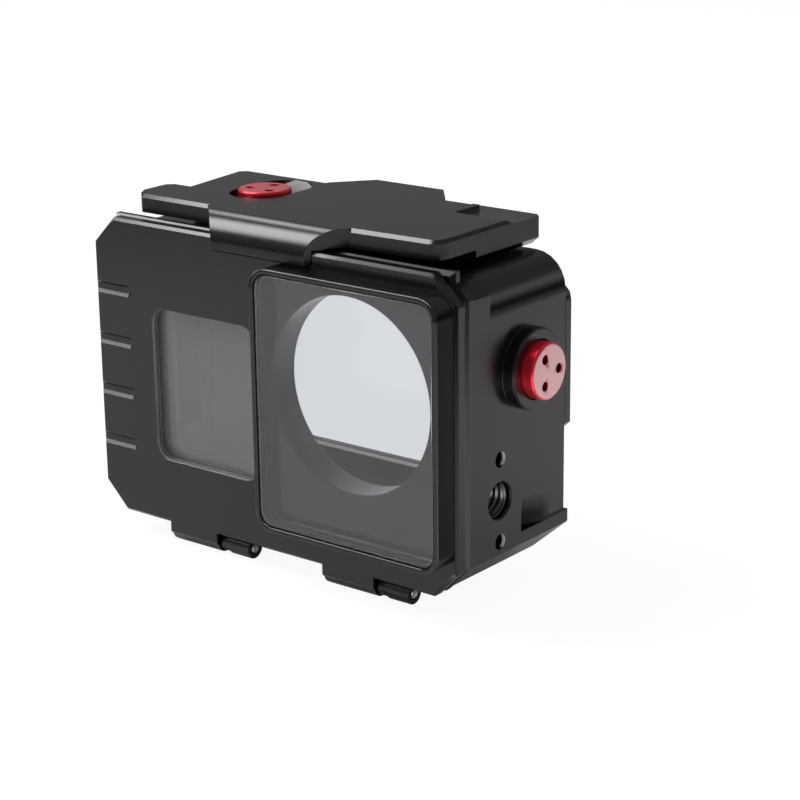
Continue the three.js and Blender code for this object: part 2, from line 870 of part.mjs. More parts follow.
function frontDoor() {
  const panel = frontBevelled(doorOutline(), 0, doorThickness, doorBevel);
  const plug = plate(rounded(chamber, -plugClearance), doorThickness / 2, plugBack);
  const blank = joined(panel, plug, ...hinges.map(doorTab));
  const grooves = Array.from({ length: grooveCount }, (_, index) => gripGroove(index));
  const screwRoom = retainerScrew.shank + clearance;
  const screwFront = plugBack - retainerScrew.length;
  return cut(
    blank,
    aperture(-overrun, plugBack + overrun),
    plate(rounded(display), -overrun, plugBack + overrun),
    plate(rounded(display, displayOverlap + clearance), displayLip, plugBack + overrun),
    latchPocket(),
    ...grooves,
    ...hinges.map(({ neckLeft, knuckleRight }) =>
      hingeScallop(knuckleRadius, neckLeft, knuckleRight),
    ),
    ...hinges.map(({ tabLeft, tabRight }) =>
      roundBar(hingeBack, hingeZ, hingeBore, tabLeft - overrun, tabRight + overrun),
    ),
    ...retainerScrewPlaces().map(([x, z]) => boreY(x, z, screwRoom, screwFront, plugBack + overrun)),
  );
}

function lensPort() {
  const glassFront = portGlassInset - portReach;
  const sealFront = glassFront + portGlassThickness + clearance;
  const sealBack = sealFront + portSealThickness;
  const back = -clearance;
  const frame = cut(
    plate(rounded(port), -portReach, back),
    plate(rounded(port, -portWall), -portReach - overrun, sealBack + clearance),
    plate(rounded(port, -portWall - portSeat), -portReach - overrun, back - portFloor),
    aperture(-portReach - overrun, back + overrun),
  );
  const fit = -portWall - clearance;
  const glass = plate(rounded(port, fit), glassFront, glassFront + portGlassThickness);
  const seal = plate(roundedRing(port, fit, fit - portSealWidth), sealFront, sealBack);
  return [
    piece("lens_port_frame", frame, anodised),
    piece("lens_port_glass", glass, clearGlass),
    piece("lens_port_seal", seal, rubber),
  ];
}

function displayRetainer(front) {
  const flangeFront = plugBack + clearance;
  const back = flangeFront + retainerFlange;
  const collar = plate(rounded(display, displayOverlap), front, back);
  const flange = block(retainerLeft, retainerRight, flangeFront, back, retainerBottom, retainerTop);
  const shank = retainerScrew.shank + clearance;
  const head = retainerScrew.head + clearance;
  const seat = back - retainerScrew.headDepth - clearance;
  return cut(
    joined(collar, flange),
    plate(rounded(display), front - overrun, back + overrun),
    ...retainerScrewPlaces().flatMap(([x, z]) => [
      boreY(x, z, shank, flangeFront - overrun, back + overrun),
      boreY(x, z, head, seat, back + overrun),
    ]),
  );
}

function displayWindow() {
  const sealFront = displayLip + clearance;
  const glassFront = sealFront + displaySealThickness + clearance;
  const retainerFront = glassFront + displayGlassThickness + clearance;
  const ring = roundedRing(display, displayOverlap, 0);
  const seal = plate(ring, sealFront, sealFront + displaySealThickness);
  const glass = plate(rounded(display, displayOverlap), glassFront, glassFront + displayGlassThickness);
  const headSeat = plugBack + clearance + retainerFlange - retainerScrew.headDepth;
  return [
    piece("display_seal", seal, rubber),
    piece("display_glass", glass, clearGlass),
    piece("display_retainer", displayRetainer(retainerFront), anodised),
    ...retainerScrewPlaces().map(([x, z], index) =>
      screw("retainer_screw_" + (index + 1), x, z, headSeat, retainerScrew),
    ),
  ];
}

// Latch
function latchOutline() {
  const leftEarReach = halfWidth - leftEarInset;
  const leftRear = halfWidth - latchLeftRearInset;
  return eased([
    [leftEarRootInset - halfWidth, latchFront],
    [hookRight, latchFront],
    [latchRight, latchFrontRight, latchFrontRadius],
    [latchRight, rightTabRear - rightTabCut],
    [latchRight - rightTabCut, rightTabRear],
    [rightTabLeft, rightTabRear],
    [rightTabLeft, latchRearRight],
    [lobeRight, latchRearRight],
    [lobeLeft, latchRearLeft],
    [latchCornerCut - leftRear, latchRearLeft],
    [-leftRear, latchRearLeft - latchCornerCut],
    [latchLeftFrontInset - halfWidth, leftEarRear],
    [latchCornerCut - leftEarReach, leftEarRear],
    [-leftEarReach, leftEarRear - latchCornerCut],
    [-leftEarReach, leftEarFront],
  ]);
}

// The lowered top of the tab at the rear right, reached by a short slope
function tabStep() {
  const front = rightTabRear - rightTabLength;
  const level = latchTop - rightTabDrop;
  const outline = polygon([
    [front, latchTop],
    [front + 2 * rightTabDrop, level],
    [rightTabRear + overrun, level],
    [rightTabRear + overrun, latchTop + overrun],
    [front, latchTop + overrun],
  ]);
  const rear = rightTabRear + overrun;
  return joined(
    bar(outline, latchRight - rightTabWidth, latchRight + overrun),
    block(rightTabLeft - overrun, latchRight, latchRearRight, rear, level, latchTop + overrun),
  );
}

function hookSolid() {
  const top = latchTop;
  const front = -hookReach;
  const bottom = doorHeight - hookDrop;
  const gap = clearance / Math.cos(hookLean);
  const inner = (level) => (level - pocketFoot) * leanRun - gap;
  const profile = new THREE.Shape();
  profile.moveTo(hookRoot, latchUnder);
  profile.lineTo(hookRoot, top);
  profile.absarc(front + hookRadius, top - hookRadius, hookRadius, quarterTurn, 2 * quarterTurn);
  profile.lineTo(front, bottom);
  profile.lineTo(inner(bottom), bottom);
  profile.lineTo(inner(latchUnder), latchUnder);
  profile.closePath();
  const slope = latchFront - front;
  const plan = polygon([
    [hookLeft, hookRoot + overrun],
    [hookLeft, latchFront],
    [hookLeft + slope, front],
    [hookRight - slope, front],
    [hookRight, latchFront],
    [hookRight, hookRoot + overrun],
  ]);
  const curl = bar(profile, hookLeft, hookRight, 0, 2 * arcSteps);
  const made = curl.intersect(slab(plan, bottom - overrun, top + overrun));
  const low = bottom - overrun;
  const high = doorHeight + clearance;
  return cut(
    made,
    block(-reach, pocketLeft + clearance, 0, hookRoot + overrun, low, high),
    block(pocketRight - clearance, reach, 0, hookRoot + overrun, low, high),
  );
}

function rearLobe() {
  const root = latchRearLeft - pivotRadius;
  const plan = polygon([
    [lobeLeft, root],
    [lobeRight, root],
    [lobeRight, latchRearLeft],
    [lobeRight - lobeSlope, lobeReach],
    [lobeLeft + lobeSlope, lobeReach],
    [lobeLeft, latchRearLeft],
  ]);
  const whole = slab(plan, pivotZ - pivotRadius - overrun, latchTop);
  const rollers = joined(
    roundBar(pivotY, pivotZ, pivotRadius, pivotLeft, pivotRight, buttonSteps),
    block(pivotLeft, pivotRight, root, pivotY, latchDeepUnder, latchTop),
  );
  const roof = block(lobeLeft, lobeRight, root, lobeReach, latchUnder, latchTop);
  const lugRoom = lugRadius + clearance;
  const open = cut(
    roof,
    roundBar(pivotY, pivotZ, lugRoom, lobeLeft - overrun, pivotLeft, buttonSteps),
    roundBar(pivotY, pivotZ, lugRoom, pivotRight, lobeRight + overrun, buttonSteps),
    block(lobeLeft - overrun, pivotLeft, pivotY, reach, latchUnder - overrun, pivotZ + lugRoom / 2),
    block(pivotRight, lobeRight + overrun, pivotY, reach, latchUnder - overrun, pivotZ + lugRoom / 2),
  );
  return whole.intersect(joined(rollers, open));
}

function buttonSlot() {
  const slotFront = topButtonY - slotForward;
  const slotRear = topButtonY + slotBack;
  const slotDishFront = topButtonY - slotDishForward;
  const slotDishRear = topButtonY + slotDishBack;
  const stadium = (front, rear) => {
    const shape = new THREE.Shape();
    shape.absarc(topButtonX, rear - slotHalfWidth, slotHalfWidth, 0, 2 * quarterTurn);
    shape.absarc(topButtonX, front + slotHalfWidth, slotHalfWidth, 2 * quarterTurn, 4 * quarterTurn);
    shape.closePath();
    return shape;
  };
  const steps = 3 * arcSteps;
  const through = slab(stadium(slotFront, slotRear), bodyTop, latchTop + overrun, 0, steps);
  const ramp = polygon([
    [slotDishFront, latchTop],
    [slotFront, latchTop - slotDishDepth / 2],
    [slotRear, latchTop - slotDishDepth],
    [slotDishRear, latchTop],
    [slotDishRear, latchTop + overrun],
    [slotDishFront, latchTop + overrun],
  ]);
  const dish = slab(stadium(slotDishFront, slotDishRear), bodyTop, latchTop + overrun, 0, steps);
  const left = topButtonX - slotHalfWidth - overrun;
  const right = topButtonX + slotHalfWidth + overrun;
  return [through, dish.intersect(bar(ramp, left, right))];
}

function latchPlate() {
  const outline = latchOutline();
  const bottom = latchDeepUnder;
  const upper = cut(
    slab(outline, bottom - 2 * latchTopBevel, latchTop, latchTopBevel),
    block(-reach, reach, -reach, reach, -reach, bottom),
  );
  const lower = cut(
    slab(outline, bottom, latchTop + 2 * latchLowBevel, latchLowBevel),
    block(-reach, reach, -reach, reach, latchTop, reach),
  );
  const deep = block(-reach, reach, latchDeepFrom, reach, bottom, reach);
  const thin = block(-reach, reach, -reach, reach, latchUnder, reach);
  const body = upper.intersect(joined(deep.intersect(lower), thin));
  const pinRoom = latchPinRadius + clearance;
  const pinBore = roundBar(pivotY, pivotZ, pinRoom, lobeLeft - overrun, lobeRight + overrun);
  return cut(joined(body, hookSolid(), rearLobe()), tabStep(), ...buttonSlot(), pinBore);
}

function latchPin() {
  const pin = roundBar(pivotY, pivotZ, latchPinRadius, lugs[0][0], lugs[1][1]);
  return piece("latch_pin", pin, steel);
}

// Push buttons. Each is made standing on z = 0, the outside of its wall, and is then turned and placed.
function buttonCap({ radius, top, height }) {
  const roof = top - capRoof;
  const bottom = top - height;
  const cap = turned([
    [0, roof],
    [radius - capWall, roof],
    [radius - capWall, bottom],
    [radius, bottom],
    [radius, top - capBevel],
    [radius - capBevel, top],
    [0, top],
  ]);
  const dimples = Array.from({ length: dimpleCount }, (_, index) => {
    const angle = quarterTurn + (index * 4 * quarterTurn) / dimpleCount;
    const shape = disc(dimpleCircle * Math.cos(angle), dimpleCircle * Math.sin(angle), dimpleRadius);
    return slab(shape, top - dimpleDepth, top + overrun, 0, 2 * arcSteps);
  });
  return cut(cap, ...dimples);
}

// The clip lies against the bushing's inner end, in a groove of the shaft
function clipTop({ wall }) {
  return -wall - clearance - sleeveFlange - sleeveNose - clearance;
}

function buttonShaft(size) {
  const top = size.top - capRoof - clearance;
  const grooveTop = clipTop(size) + clearance;
  const grooveFoot = clipTop(size) - clipThickness - clearance;
  return turned(
    [
      [0, grooveFoot - shaftTip],
      [shaftRadius, grooveFoot - shaftTip],
      [shaftRadius, grooveFoot],
      [shaftRadius - clipGroove, grooveFoot],
      [shaftRadius - clipGroove, grooveTop],
      [shaftRadius, grooveTop],
      [shaftRadius, top],
      [0, top],
    ],
    boreSteps,
  );
}

function buttonClip(size) {
  const inner = shaftRadius - clipGroove + clearance;
  const start = clipMouth / 2;
  const end = 4 * quarterTurn - clipMouth / 2;
  const shape = new THREE.Shape();
  shape.absarc(0, 0, clipRadius, start, end);
  shape.absarc(0, 0, inner, end, start, true);
  shape.closePath();
  const top = clipTop(size);
  return slab(shape, top - clipThickness, top, 0, boreSteps / 2);
}

function buttonBushing({ seat, wall }) {
  const bore = shaftRadius + clearance;
  const flangeTop = -wall - clearance;
  const nose = flangeTop - sleeveFlange - sleeveNose;
  const groove = shaftRadius + 2 * clearance + 2 * ringRadius + clearance;
  const half = ringRadius + clearance;
  const first = seat - firstRingDepth;
  const second = first - ringPitch;
  const profile = [
    [bore, nose],
    [sleeveRadius, nose],
    [sleeveRadius, flangeTop - sleeveFlange],
    [sleeveFlangeRadius, flangeTop - sleeveFlange],
    [sleeveFlangeRadius, flangeTop],
    [sleeveRadius, flangeTop],
    [sleeveRadius, seat],
    [bore, seat],
    [bore, first + half],
    [groove, first + half],
    [groove, first - half],
    [bore, first - half],
    [bore, second + half],
    [groove, second + half],
    [groove, second - half],
    [bore, second - half],
    [bore, nose],
  ];
  return turned(profile, boreSteps);
}

function shaftSeal(height) {
  const centre = shaftRadius + clearance + ringRadius;
  const profile = Array.from({ length: ringSteps + 1 }, (_, index) => {
    const angle = (index / ringSteps) * 4 * quarterTurn;
    return [centre + ringRadius * Math.cos(angle), height + ringRadius * Math.sin(angle)];
  });
  profile[profile.length - 1] = profile[0];
  return turned(profile, boreSteps);
}

class SpringPath extends THREE.Curve {
  constructor(bottom, top) {
    super();
    this.bottom = bottom;
    this.top = top;
  }

  getPoint(share, target = new THREE.Vector3()) {
    const angle = share * springTurns * 4 * quarterTurn;
    const height = THREE.MathUtils.lerp(this.bottom, this.top, share);
    return target.set(springRadius * Math.cos(angle), springRadius * Math.sin(angle), height);
  }
}

function buttonSpring({ seat, top }) {
  const bottom = seat + clearance + springWire;
  const path = new SpringPath(bottom, top - capRoof - clearance - springWire);
  const settings = { steps: springTurns * boreSteps, curveSegments: arcSteps, extrudePath: path };
  return solid(new THREE.ExtrudeGeometry(disc(0, 0, springWire), settings));
}

function buttonSet(name, size) {
  const group = new THREE.Group();
  const first = size.seat - firstRingDepth;
  group.add(
    piece(name + "_cap", buttonCap(size), redAnodised),
    piece(name + "_shaft", buttonShaft(size), steel),
    piece(name + "_clip", buttonClip(size), steel),
    piece(name + "_bushing", buttonBushing(size), polymer),
    piece(name + "_seal_outer", shaftSeal(first), rubber),
    piece(name + "_seal_inner", shaftSeal(first - ringPitch), rubber),
    piece(name + "_spring", buttonSpring(size), steel),
  );
  return group;
}

// Tripod insert, made standing on its closed end with its mouth up
function threadInsert() {
  const ridges = Array.from({ length: threadCount }, (_, index) => {
    const foot = insertEnd + (threadCount - index) * threadPitch;
    return [
      [threadRadius - threadDepth, foot],
      [threadRadius, foot - threadPitch / 2],
    ];
  }).flat();
  const made = turned([
    [0, 0],
    [insertRadius, 0],
    [insertRadius, insertLength],
    [threadRadius, insertLength],
    ...ridges,
    [threadRadius - threadDepth, insertEnd],
    [0, insertEnd],
  ]);
  const node = piece("tripod_insert", made, steel);
  node.rotation.y = quarterTurn;
  node.position.set(insertBack, threadY, threadZ);
  return node;
}

// Pads
function cameraPads() {
  const pad = (left, right, bottom, top) => ({ left, right, bottom, top, radius: padRadius });
  const wallFace = chamber.left + clearance;
  const back = chamberBack - padRearInset;
  const sideArea = pad(padFront, back, chamber.bottom + sidePadInset, chamber.top - sidePadDrop);
  const floorFace = chamber.bottom + clearance;
  const inner = chamber.right - floorPadInset;
  const floorPad = (name, left) => {
    const area = pad(left, left + floorPadWidth, padFront, back);
    return piece(name, slab(rounded(area), floorFace, floorFace + padThickness), rubber);
  };
  return [
    piece("side_pad", bar(rounded(sideArea), wallFace, wallFace + padThickness), rubber),
    floorPad("floor_pad_left", -inner),
    floorPad("floor_pad_right", inner - floorPadWidth),
  ];
}

// The assembly
const housing = new THREE.Group();

housing.add(piece("main_housing", mainHousing(), anodised));
housing.add(piece("main_seal", mainSeal(), rubber));
housing.add(...rearWindowPieces());
housing.add(...hingePins());
housing.add(latchPin());
housing.add(threadInsert());
housing.add(...cameraPads());

housing.add(piece("front_door", frontDoor(), anodised));
housing.add(...lensPort());
housing.add(...displayWindow());

housing.add(piece("latch_plate", latchPlate(), anodised));

const topSet = buttonSet("top_button", topButton);
topSet.position.set(topButtonX, topButtonY, bodyTop);
housing.add(topSet);

const sideSet = buttonSet("side_button", sideButton);
sideSet.rotation.y = quarterTurn;
sideSet.position.set(halfWidth, sideButtonY, sideButtonZ);
housing.add(sideSet);

// The origin goes to the middle of the base
const bounds = new THREE.Box3().setFromObject(housing);
const middle = bounds.getCenter(new THREE.Vector3());
housing.position.set(-middle.x, -middle.y, -bounds.min.z);

const part = new THREE.Group();
part.add(housing);

export default part;
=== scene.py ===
import json
import math

import bmesh
import bpy
from mathutils import Matrix, Vector

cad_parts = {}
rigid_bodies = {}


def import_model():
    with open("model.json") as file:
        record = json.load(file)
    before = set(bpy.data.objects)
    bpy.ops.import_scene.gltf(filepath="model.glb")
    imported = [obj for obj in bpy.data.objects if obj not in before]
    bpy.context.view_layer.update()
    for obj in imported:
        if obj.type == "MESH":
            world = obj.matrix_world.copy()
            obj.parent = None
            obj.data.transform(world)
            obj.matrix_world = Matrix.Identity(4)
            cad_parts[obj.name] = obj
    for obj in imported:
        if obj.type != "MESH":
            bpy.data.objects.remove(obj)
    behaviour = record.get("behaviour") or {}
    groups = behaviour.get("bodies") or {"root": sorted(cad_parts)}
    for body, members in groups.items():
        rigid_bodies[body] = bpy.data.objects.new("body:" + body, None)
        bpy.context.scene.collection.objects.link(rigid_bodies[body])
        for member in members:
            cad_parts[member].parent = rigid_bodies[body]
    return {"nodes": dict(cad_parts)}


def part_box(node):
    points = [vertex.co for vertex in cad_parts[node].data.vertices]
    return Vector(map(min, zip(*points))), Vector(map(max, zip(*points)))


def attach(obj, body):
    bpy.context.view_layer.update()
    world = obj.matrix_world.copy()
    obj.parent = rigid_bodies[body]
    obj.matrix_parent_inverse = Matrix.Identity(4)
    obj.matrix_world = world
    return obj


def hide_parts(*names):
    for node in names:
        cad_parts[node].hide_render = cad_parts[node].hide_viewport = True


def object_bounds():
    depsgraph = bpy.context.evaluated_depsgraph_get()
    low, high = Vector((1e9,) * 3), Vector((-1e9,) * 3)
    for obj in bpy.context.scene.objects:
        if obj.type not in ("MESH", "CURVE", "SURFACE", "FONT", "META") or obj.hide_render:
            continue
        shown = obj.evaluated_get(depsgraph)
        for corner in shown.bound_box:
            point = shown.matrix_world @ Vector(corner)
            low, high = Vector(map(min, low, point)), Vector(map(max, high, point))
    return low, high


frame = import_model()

bl_info = {
    "name": "Underwater Camera Housing",
    "version": (1, 0, 0),
    "blender": (4, 5, 0),
    "location": "View3D > Sidebar > Housing",
    "description": "Models and finishes the pieces of an underwater camera housing on its packed frame",
    "category": "Add Mesh",
}

CAD_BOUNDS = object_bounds()
MM = 0.001
NODES = frame["nodes"]

# The door's own frame, in which all places below are given in millimetres: x from the middle of the
# body, y from the door's face, z from the door's lower edge.
DOOR_LOW, DOOR_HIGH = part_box("front_door")
DOOR_HEIGHT = 62.5
ORIGIN = Vector(((DOOR_LOW.x + DOOR_HIGH.x) / 2, DOOR_LOW.y, DOOR_HIGH.z - DOOR_HEIGHT * MM))
UP = Vector((0, 0, 1))
BACK = Vector((0, 1, 0))
QUARTER = math.pi / 2


def at(x, y, z):
    """A place in the door's frame, in millimetres, as a place in the scene."""
    return ORIGIN + Vector((x, y, z)) * MM


# Settings that the panel shows


class HousingFinish(bpy.types.PropertyGroup):
    """Colours and surface of the housing's finishes"""

    dark: bpy.props.FloatVectorProperty(
        name="Dark Metal",
        description="Colour of the anodised shell",
        subtype="COLOR",
        default=(0.055, 0.055, 0.0565),
    )
    dark_roughness: bpy.props.FloatProperty(
        name="Dark Roughness",
        description="Roughness of the anodised shell",
        subtype="FACTOR",
        default=0.27,
    )
    red: bpy.props.FloatVectorProperty(
        name="Red Metal",
        description="Colour of the push buttons",
        subtype="COLOR",
        default=(0.62, 0.014, 0.034),
    )
    red_roughness: bpy.props.FloatProperty(
        name="Red Roughness",
        description="Roughness of the push buttons",
        subtype="FACTOR",
        default=0.3,
    )
    steel: bpy.props.FloatVectorProperty(
        name="Steel",
        description="Colour of pins, screws and springs",
        subtype="COLOR",
        default=(0.68, 0.68, 0.67),
    )
    rubber: bpy.props.FloatVectorProperty(
        name="Rubber",
        description="Colour of the dark seals",
        subtype="COLOR",
        default=(0.018, 0.018, 0.019),
    )
    polymer: bpy.props.FloatVectorProperty(
        name="Sleeve Polymer",
        description="Colour of the sliding sleeves",
        subtype="COLOR",
        default=(0.05, 0.05, 0.055),
    )
    glass: bpy.props.FloatVectorProperty(
        name="Glass",
        description="Tint of the windows",
        subtype="COLOR",
        default=(0.83, 0.848, 0.872),
    )
    grain: bpy.props.FloatProperty(
        name="Grain Size",
        description="Size of the blasted grain under the anodising",
        unit="LENGTH",
        default=0.00022,
    )
    edge: bpy.props.FloatProperty(
        name="Edge Rounding",
        description="Radius of the broken edges",
        unit="LENGTH",
        default=0.00016,
    )


class HousingDetail(bpy.types.PropertyGroup):
    """Sizes of the modelled details"""

    spring_turns: bpy.props.IntProperty(
        name="Spring Turns", description="Turns of each button spring", default=3
    )
    thread_pitch: bpy.props.FloatProperty(
        name="Thread Pitch",
        description="Pitch of the tripod thread",
        unit="LENGTH",
        default=0.00127,
    )
    bevel: bpy.props.FloatProperty(
        name="Port Edge",
        description="Width of the edge of the lens port",
        unit="LENGTH",
        default=0.00022,
    )
    insert_sides: bpy.props.IntProperty(
        name="Insert Sides", description="Sides of the turned tripod insert", default=64
    )


class HousingStage(bpy.types.PropertyGroup):
    """Light and background"""

    key: bpy.props.FloatProperty(
        name="Key", description="Power of the main lamp", unit="POWER", default=7.4
    )
    back: bpy.props.FloatProperty(
        name="Back", description="Power of the low lamp behind", unit="POWER", default=0.22
    )
    top: bpy.props.FloatProperty(
        name="Top", description="Power of the small high lamp", unit="POWER", default=0.7
    )
    world: bpy.props.FloatProperty(
        name="World", description="Strength of the surrounding light", default=0.45
    )
    gleam: bpy.props.FloatProperty(
        name="Gleam", description="Strength of the surroundings as they are reflected", default=0.21
    )


def settings(kind):
    """The scene's settings of one kind."""
    return getattr(bpy.context.scene, "housing_" + kind)


# Materials


EDGE_SAMPLES = 4
EDGE_GAIN = 3.0


class Value:
    """A number socket that turns Python arithmetic into Math nodes."""

    def __init__(self, paint, socket):
        self.paint = paint
        self.socket = socket

    def _math(self, operation, first, second=None):
        inputs = {0: first} if second is None else {0: first, 1: second}
        made = self.paint.node("ShaderNodeMath", {"operation": operation}, inputs)
        return Value(self.paint, made.outputs[0])

    def __add__(self, other):
        return self._math("ADD", self, other)

    __radd__ = __add__

    def __sub__(self, other):
        return self._math("SUBTRACT", self, other)

    def __rsub__(self, other):
        return self._math("SUBTRACT", other, self)

    def __mul__(self, other):
        return self._math("MULTIPLY", self, other)

    __rmul__ = __mul__

    def __pow__(self, other):
        return self._math("POWER", self, other)

    def __abs__(self):
        return self._math("ABSOLUTE", self)

    def limited(self):
        """The value kept between 0 and 1."""
        return self._math("MINIMUM", self._math("MAXIMUM", self, 0.0), 1.0)

    def fade(self, start, end):
        """0 at the start, 1 at the end, and straight between them."""
        return ((self - start) * (1.0 / (end - start))).limited()

    def within(self, low, high, soft):
        """1 between two values, with soft ends."""
        return self.fade(low - soft, low) * self.fade(high + soft, high)


class Paint:
    """Builds one material's nodes."""

    def __init__(self, name):
        self.material = bpy.data.materials.new(name)
        self.material.use_nodes = True
        self.tree = self.material.node_tree
        self.tree.nodes.clear()
        self.shader = self.node("ShaderNodeBsdfPrincipled")
        self.output = self.node("ShaderNodeOutputMaterial", {}, {"Surface": self.shader.outputs[0]})
        self.place = self.node("ShaderNodeTexCoord").outputs["Object"]

    def node(self, kind, options=None, inputs=None):
        """Adds a node: its options first, then the values or links of its sockets."""
        made = self.tree.nodes.new(kind)
        for key, value in (options or {}).items():
            setattr(made, key, value)
        for key, value in (inputs or {}).items():
            self.feed(made.inputs[key], value)
        return made

    def feed(self, socket, value):
        """Sets a socket's value, or links it."""
        if isinstance(value, Value):
            value = value.socket
        if isinstance(value, bpy.types.NodeSocket):
            self.tree.links.new(value, socket)
        elif isinstance(value, (tuple, list)) and socket.type == "RGBA" and len(value) == 3:
            socket.default_value = (*value, 1.0)
        else:
            socket.default_value = value

    def set(self, **sockets):
        """Feeds the shader's sockets, named with underscores for spaces."""
        for key, value in sockets.items():
            self.feed(self.shader.inputs[key.replace("_", " ")], value)

    def noise(self, scale, detail=2.0, roughness=0.5, vector=None):
        """A noise pattern, by its number of waves in a metre."""
        made = self.node(
            "ShaderNodeTexNoise",
            {},
            {"Vector": vector or self.place, "Scale": scale, "Detail": detail, "Roughness": roughness},
        )
        return Value(self, made.outputs[0])

    def stretched(self, scale):
        """Object coordinates scaled along each axis."""
        return self.node("ShaderNodeMapping", {}, {"Vector": self.place, "Scale": scale}).outputs[0]

    def mix(self, share, first, second):
        """A mix of two colours."""
        made = self.node("ShaderNodeMix", {"data_type": "RGBA"}, {"Factor": share})
        self.feed(made.inputs[6], first)
        self.feed(made.inputs[7], second)
        return made.outputs[2]

    def shade(self, colour, value):
        """A colour multiplied by a grey value."""
        made = self.node("ShaderNodeVectorMath", {"operation": "SCALE"}, {0: colour, "Scale": value})
        return made.outputs[0]

    def axes(self, vector):
        """The three parts of a vector."""
        made = self.node("ShaderNodeSeparateXYZ", {}, {0: vector})
        return [Value(self, output) for output in made.outputs]

    def millimetres(self):
        """The place in the door's frame, in millimetres."""
        return [(part - origin) * 1000.0 for part, origin in zip(self.axes(self.place), ORIGIN)]

    def rounded(self, radius):
        """The surface's direction with its edges rounded."""
        return self.node("ShaderNodeBevel", {"samples": EDGE_SAMPLES}, {"Radius": radius}).outputs[0]

    def alike(self, first, second):
        """How much two directions agree: 1 where they are the same."""
        options = {"operation": "DOT_PRODUCT"}
        made = self.node("ShaderNodeVectorMath", options, {0: first, 1: second})
        return Value(self, made.outputs["Value"])

    def edges(self, direction):
        """1 along the edges that a rounded direction turns over, 0 on the faces."""
        face = self.node("ShaderNodeNewGeometry").outputs["Normal"]
        return ((1.0 - self.alike(direction, face)) * EDGE_GAIN).limited()

    def bump(self, height, strength, distance, direction=None):
        """A bump from a height pattern, over an optional rounded direction."""
        inputs = {"Height": height, "Strength": strength, "Distance": distance}
        if direction is not None:
            inputs["Normal"] = direction
        return self.node("ShaderNodeBump", {}, inputs).outputs[0]


SKIN_DEPTH = 0.00003
HOLES_REACH = (4.5, 4.2)

# Bounds that the shading follows, in millimetres of the door's frame. They run a little behind the
# faces they belong to: the chamber's side walls, its mouth and back, its floor and roof, and the
# walls round the rear window. HAIR is how soft a sharp mask's edge is.
CHAMBER_SIDE = (43.4, 43.1)
CHAMBER_DEPTH = (2.9, 34.4)
CHAMBER_HEIGHT = (4.2, 58.2)
REAR_REVEAL = (29.4, 29.2)
HAIR = 0.05


def in_chamber(y, z):
    """1 between the chamber's mouth and back, floor and roof."""
    return y.within(*CHAMBER_DEPTH, 0.2) * z.within(*CHAMBER_HEIGHT, 0.2)


def darkened(*shades):
    """What is left of the light where each shade takes its share, at most the depth given with it."""
    left = 1.0
    for place, depth in shades:
        left = left * (1.0 - place * depth)
    return left


def shell_painted_shading(paint, direction):
    """Painted shading on the shell: painted light inside the chamber and on the rear window's sill, and
    painted shade underneath, in the thumb scoop, on its lip, in a band along the shoulder, on the bevels
    that face right and forward, and on the ledge at the front right of the top.
    """
    x, y, z = paint.millimetres()
    right, ahead, up = paint.axes(direction)
    inside = abs(x).fade(*CHAMBER_SIDE) * in_chamber(y, z)
    under = (up * -1.4).limited()
    side = x.fade(43.8, 44.2)
    scoop = side * y.fade(20.2, 20.5) * y.fade(30.5, 27.5) * z.fade(14.0, 10.8) * z.fade(7.9, 8.3)
    lip = side * y.fade(26.0, 28.0) * z.within(8.3, 8.8, 0.35)
    shoulder_shade = side * y.fade(10.0, 10.3) * z.within(53.2, 54.6, 0.7)
    corner = right.within(0.6, 0.8, 0.1) * (ahead * -1.0).within(0.6, 0.8, 0.1)
    ledge_shade = x.fade(12.0, 20.0) * y.fade(7.5, 6.5) * up.fade(0.3, 0.5) * z.fade(59.0, 60.0)
    sill = abs(x).fade(*REAR_REVEAL) * y.within(32.0, 35.0, 0.1)
    sill = sill * z.within(9.0, 14.0, 0.2) * up.fade(0.5, 0.8)
    # Painted shades, each with the share of light it takes
    dark = darkened(
        (under, 0.72),
        (scoop, 0.95),
        (lip, 0.85),
        (shoulder_shade, 0.8),
        (corner, 0.6),
        (ledge_shade, 0.85),
    )
    # Painted light: the inside of the chamber and the rear window's sill are painted paler
    return (1.0 + inside * 2.4 + sill * 3.5) * dark


def shell_painted_pale(paint, direction):
    """Painted light on the shell: a painted highlight on the rear lip of the two blind holes, and the wall
    behind the display painted pale.
    """
    x, y, z = paint.millimetres()
    forward = paint.axes(direction)[1] * -1.0
    holes = z.within(6.4, 26.6, HAIR) * (1.0 - z.within(10.3, 22.7, HAIR))
    lips = y.within(12.0, 15.4, HAIR) * holes * x.fade(45.1, 45.5) * forward.fade(0.3, 0.7)
    wall = x.fade(-12.0, -16.0) * (x * -1.0).fade(*CHAMBER_SIDE) * in_chamber(y, z)
    return [(lips, (0.9, 0.9, 0.89)), (wall, (0.4, 0.41, 0.42))]


def port_painted_shade(paint, direction):
    """Painted shade on the port: its right flank, turned from the light, is painted black up to its rim."""
    x, y, _ = paint.millimetres()
    right = paint.axes(direction)[0]
    flank = x.fade(44.6, 45.0) * right.fade(0.3, 0.7) * y.fade(-5.15, -4.8)
    return darkened((flank, 0.96))


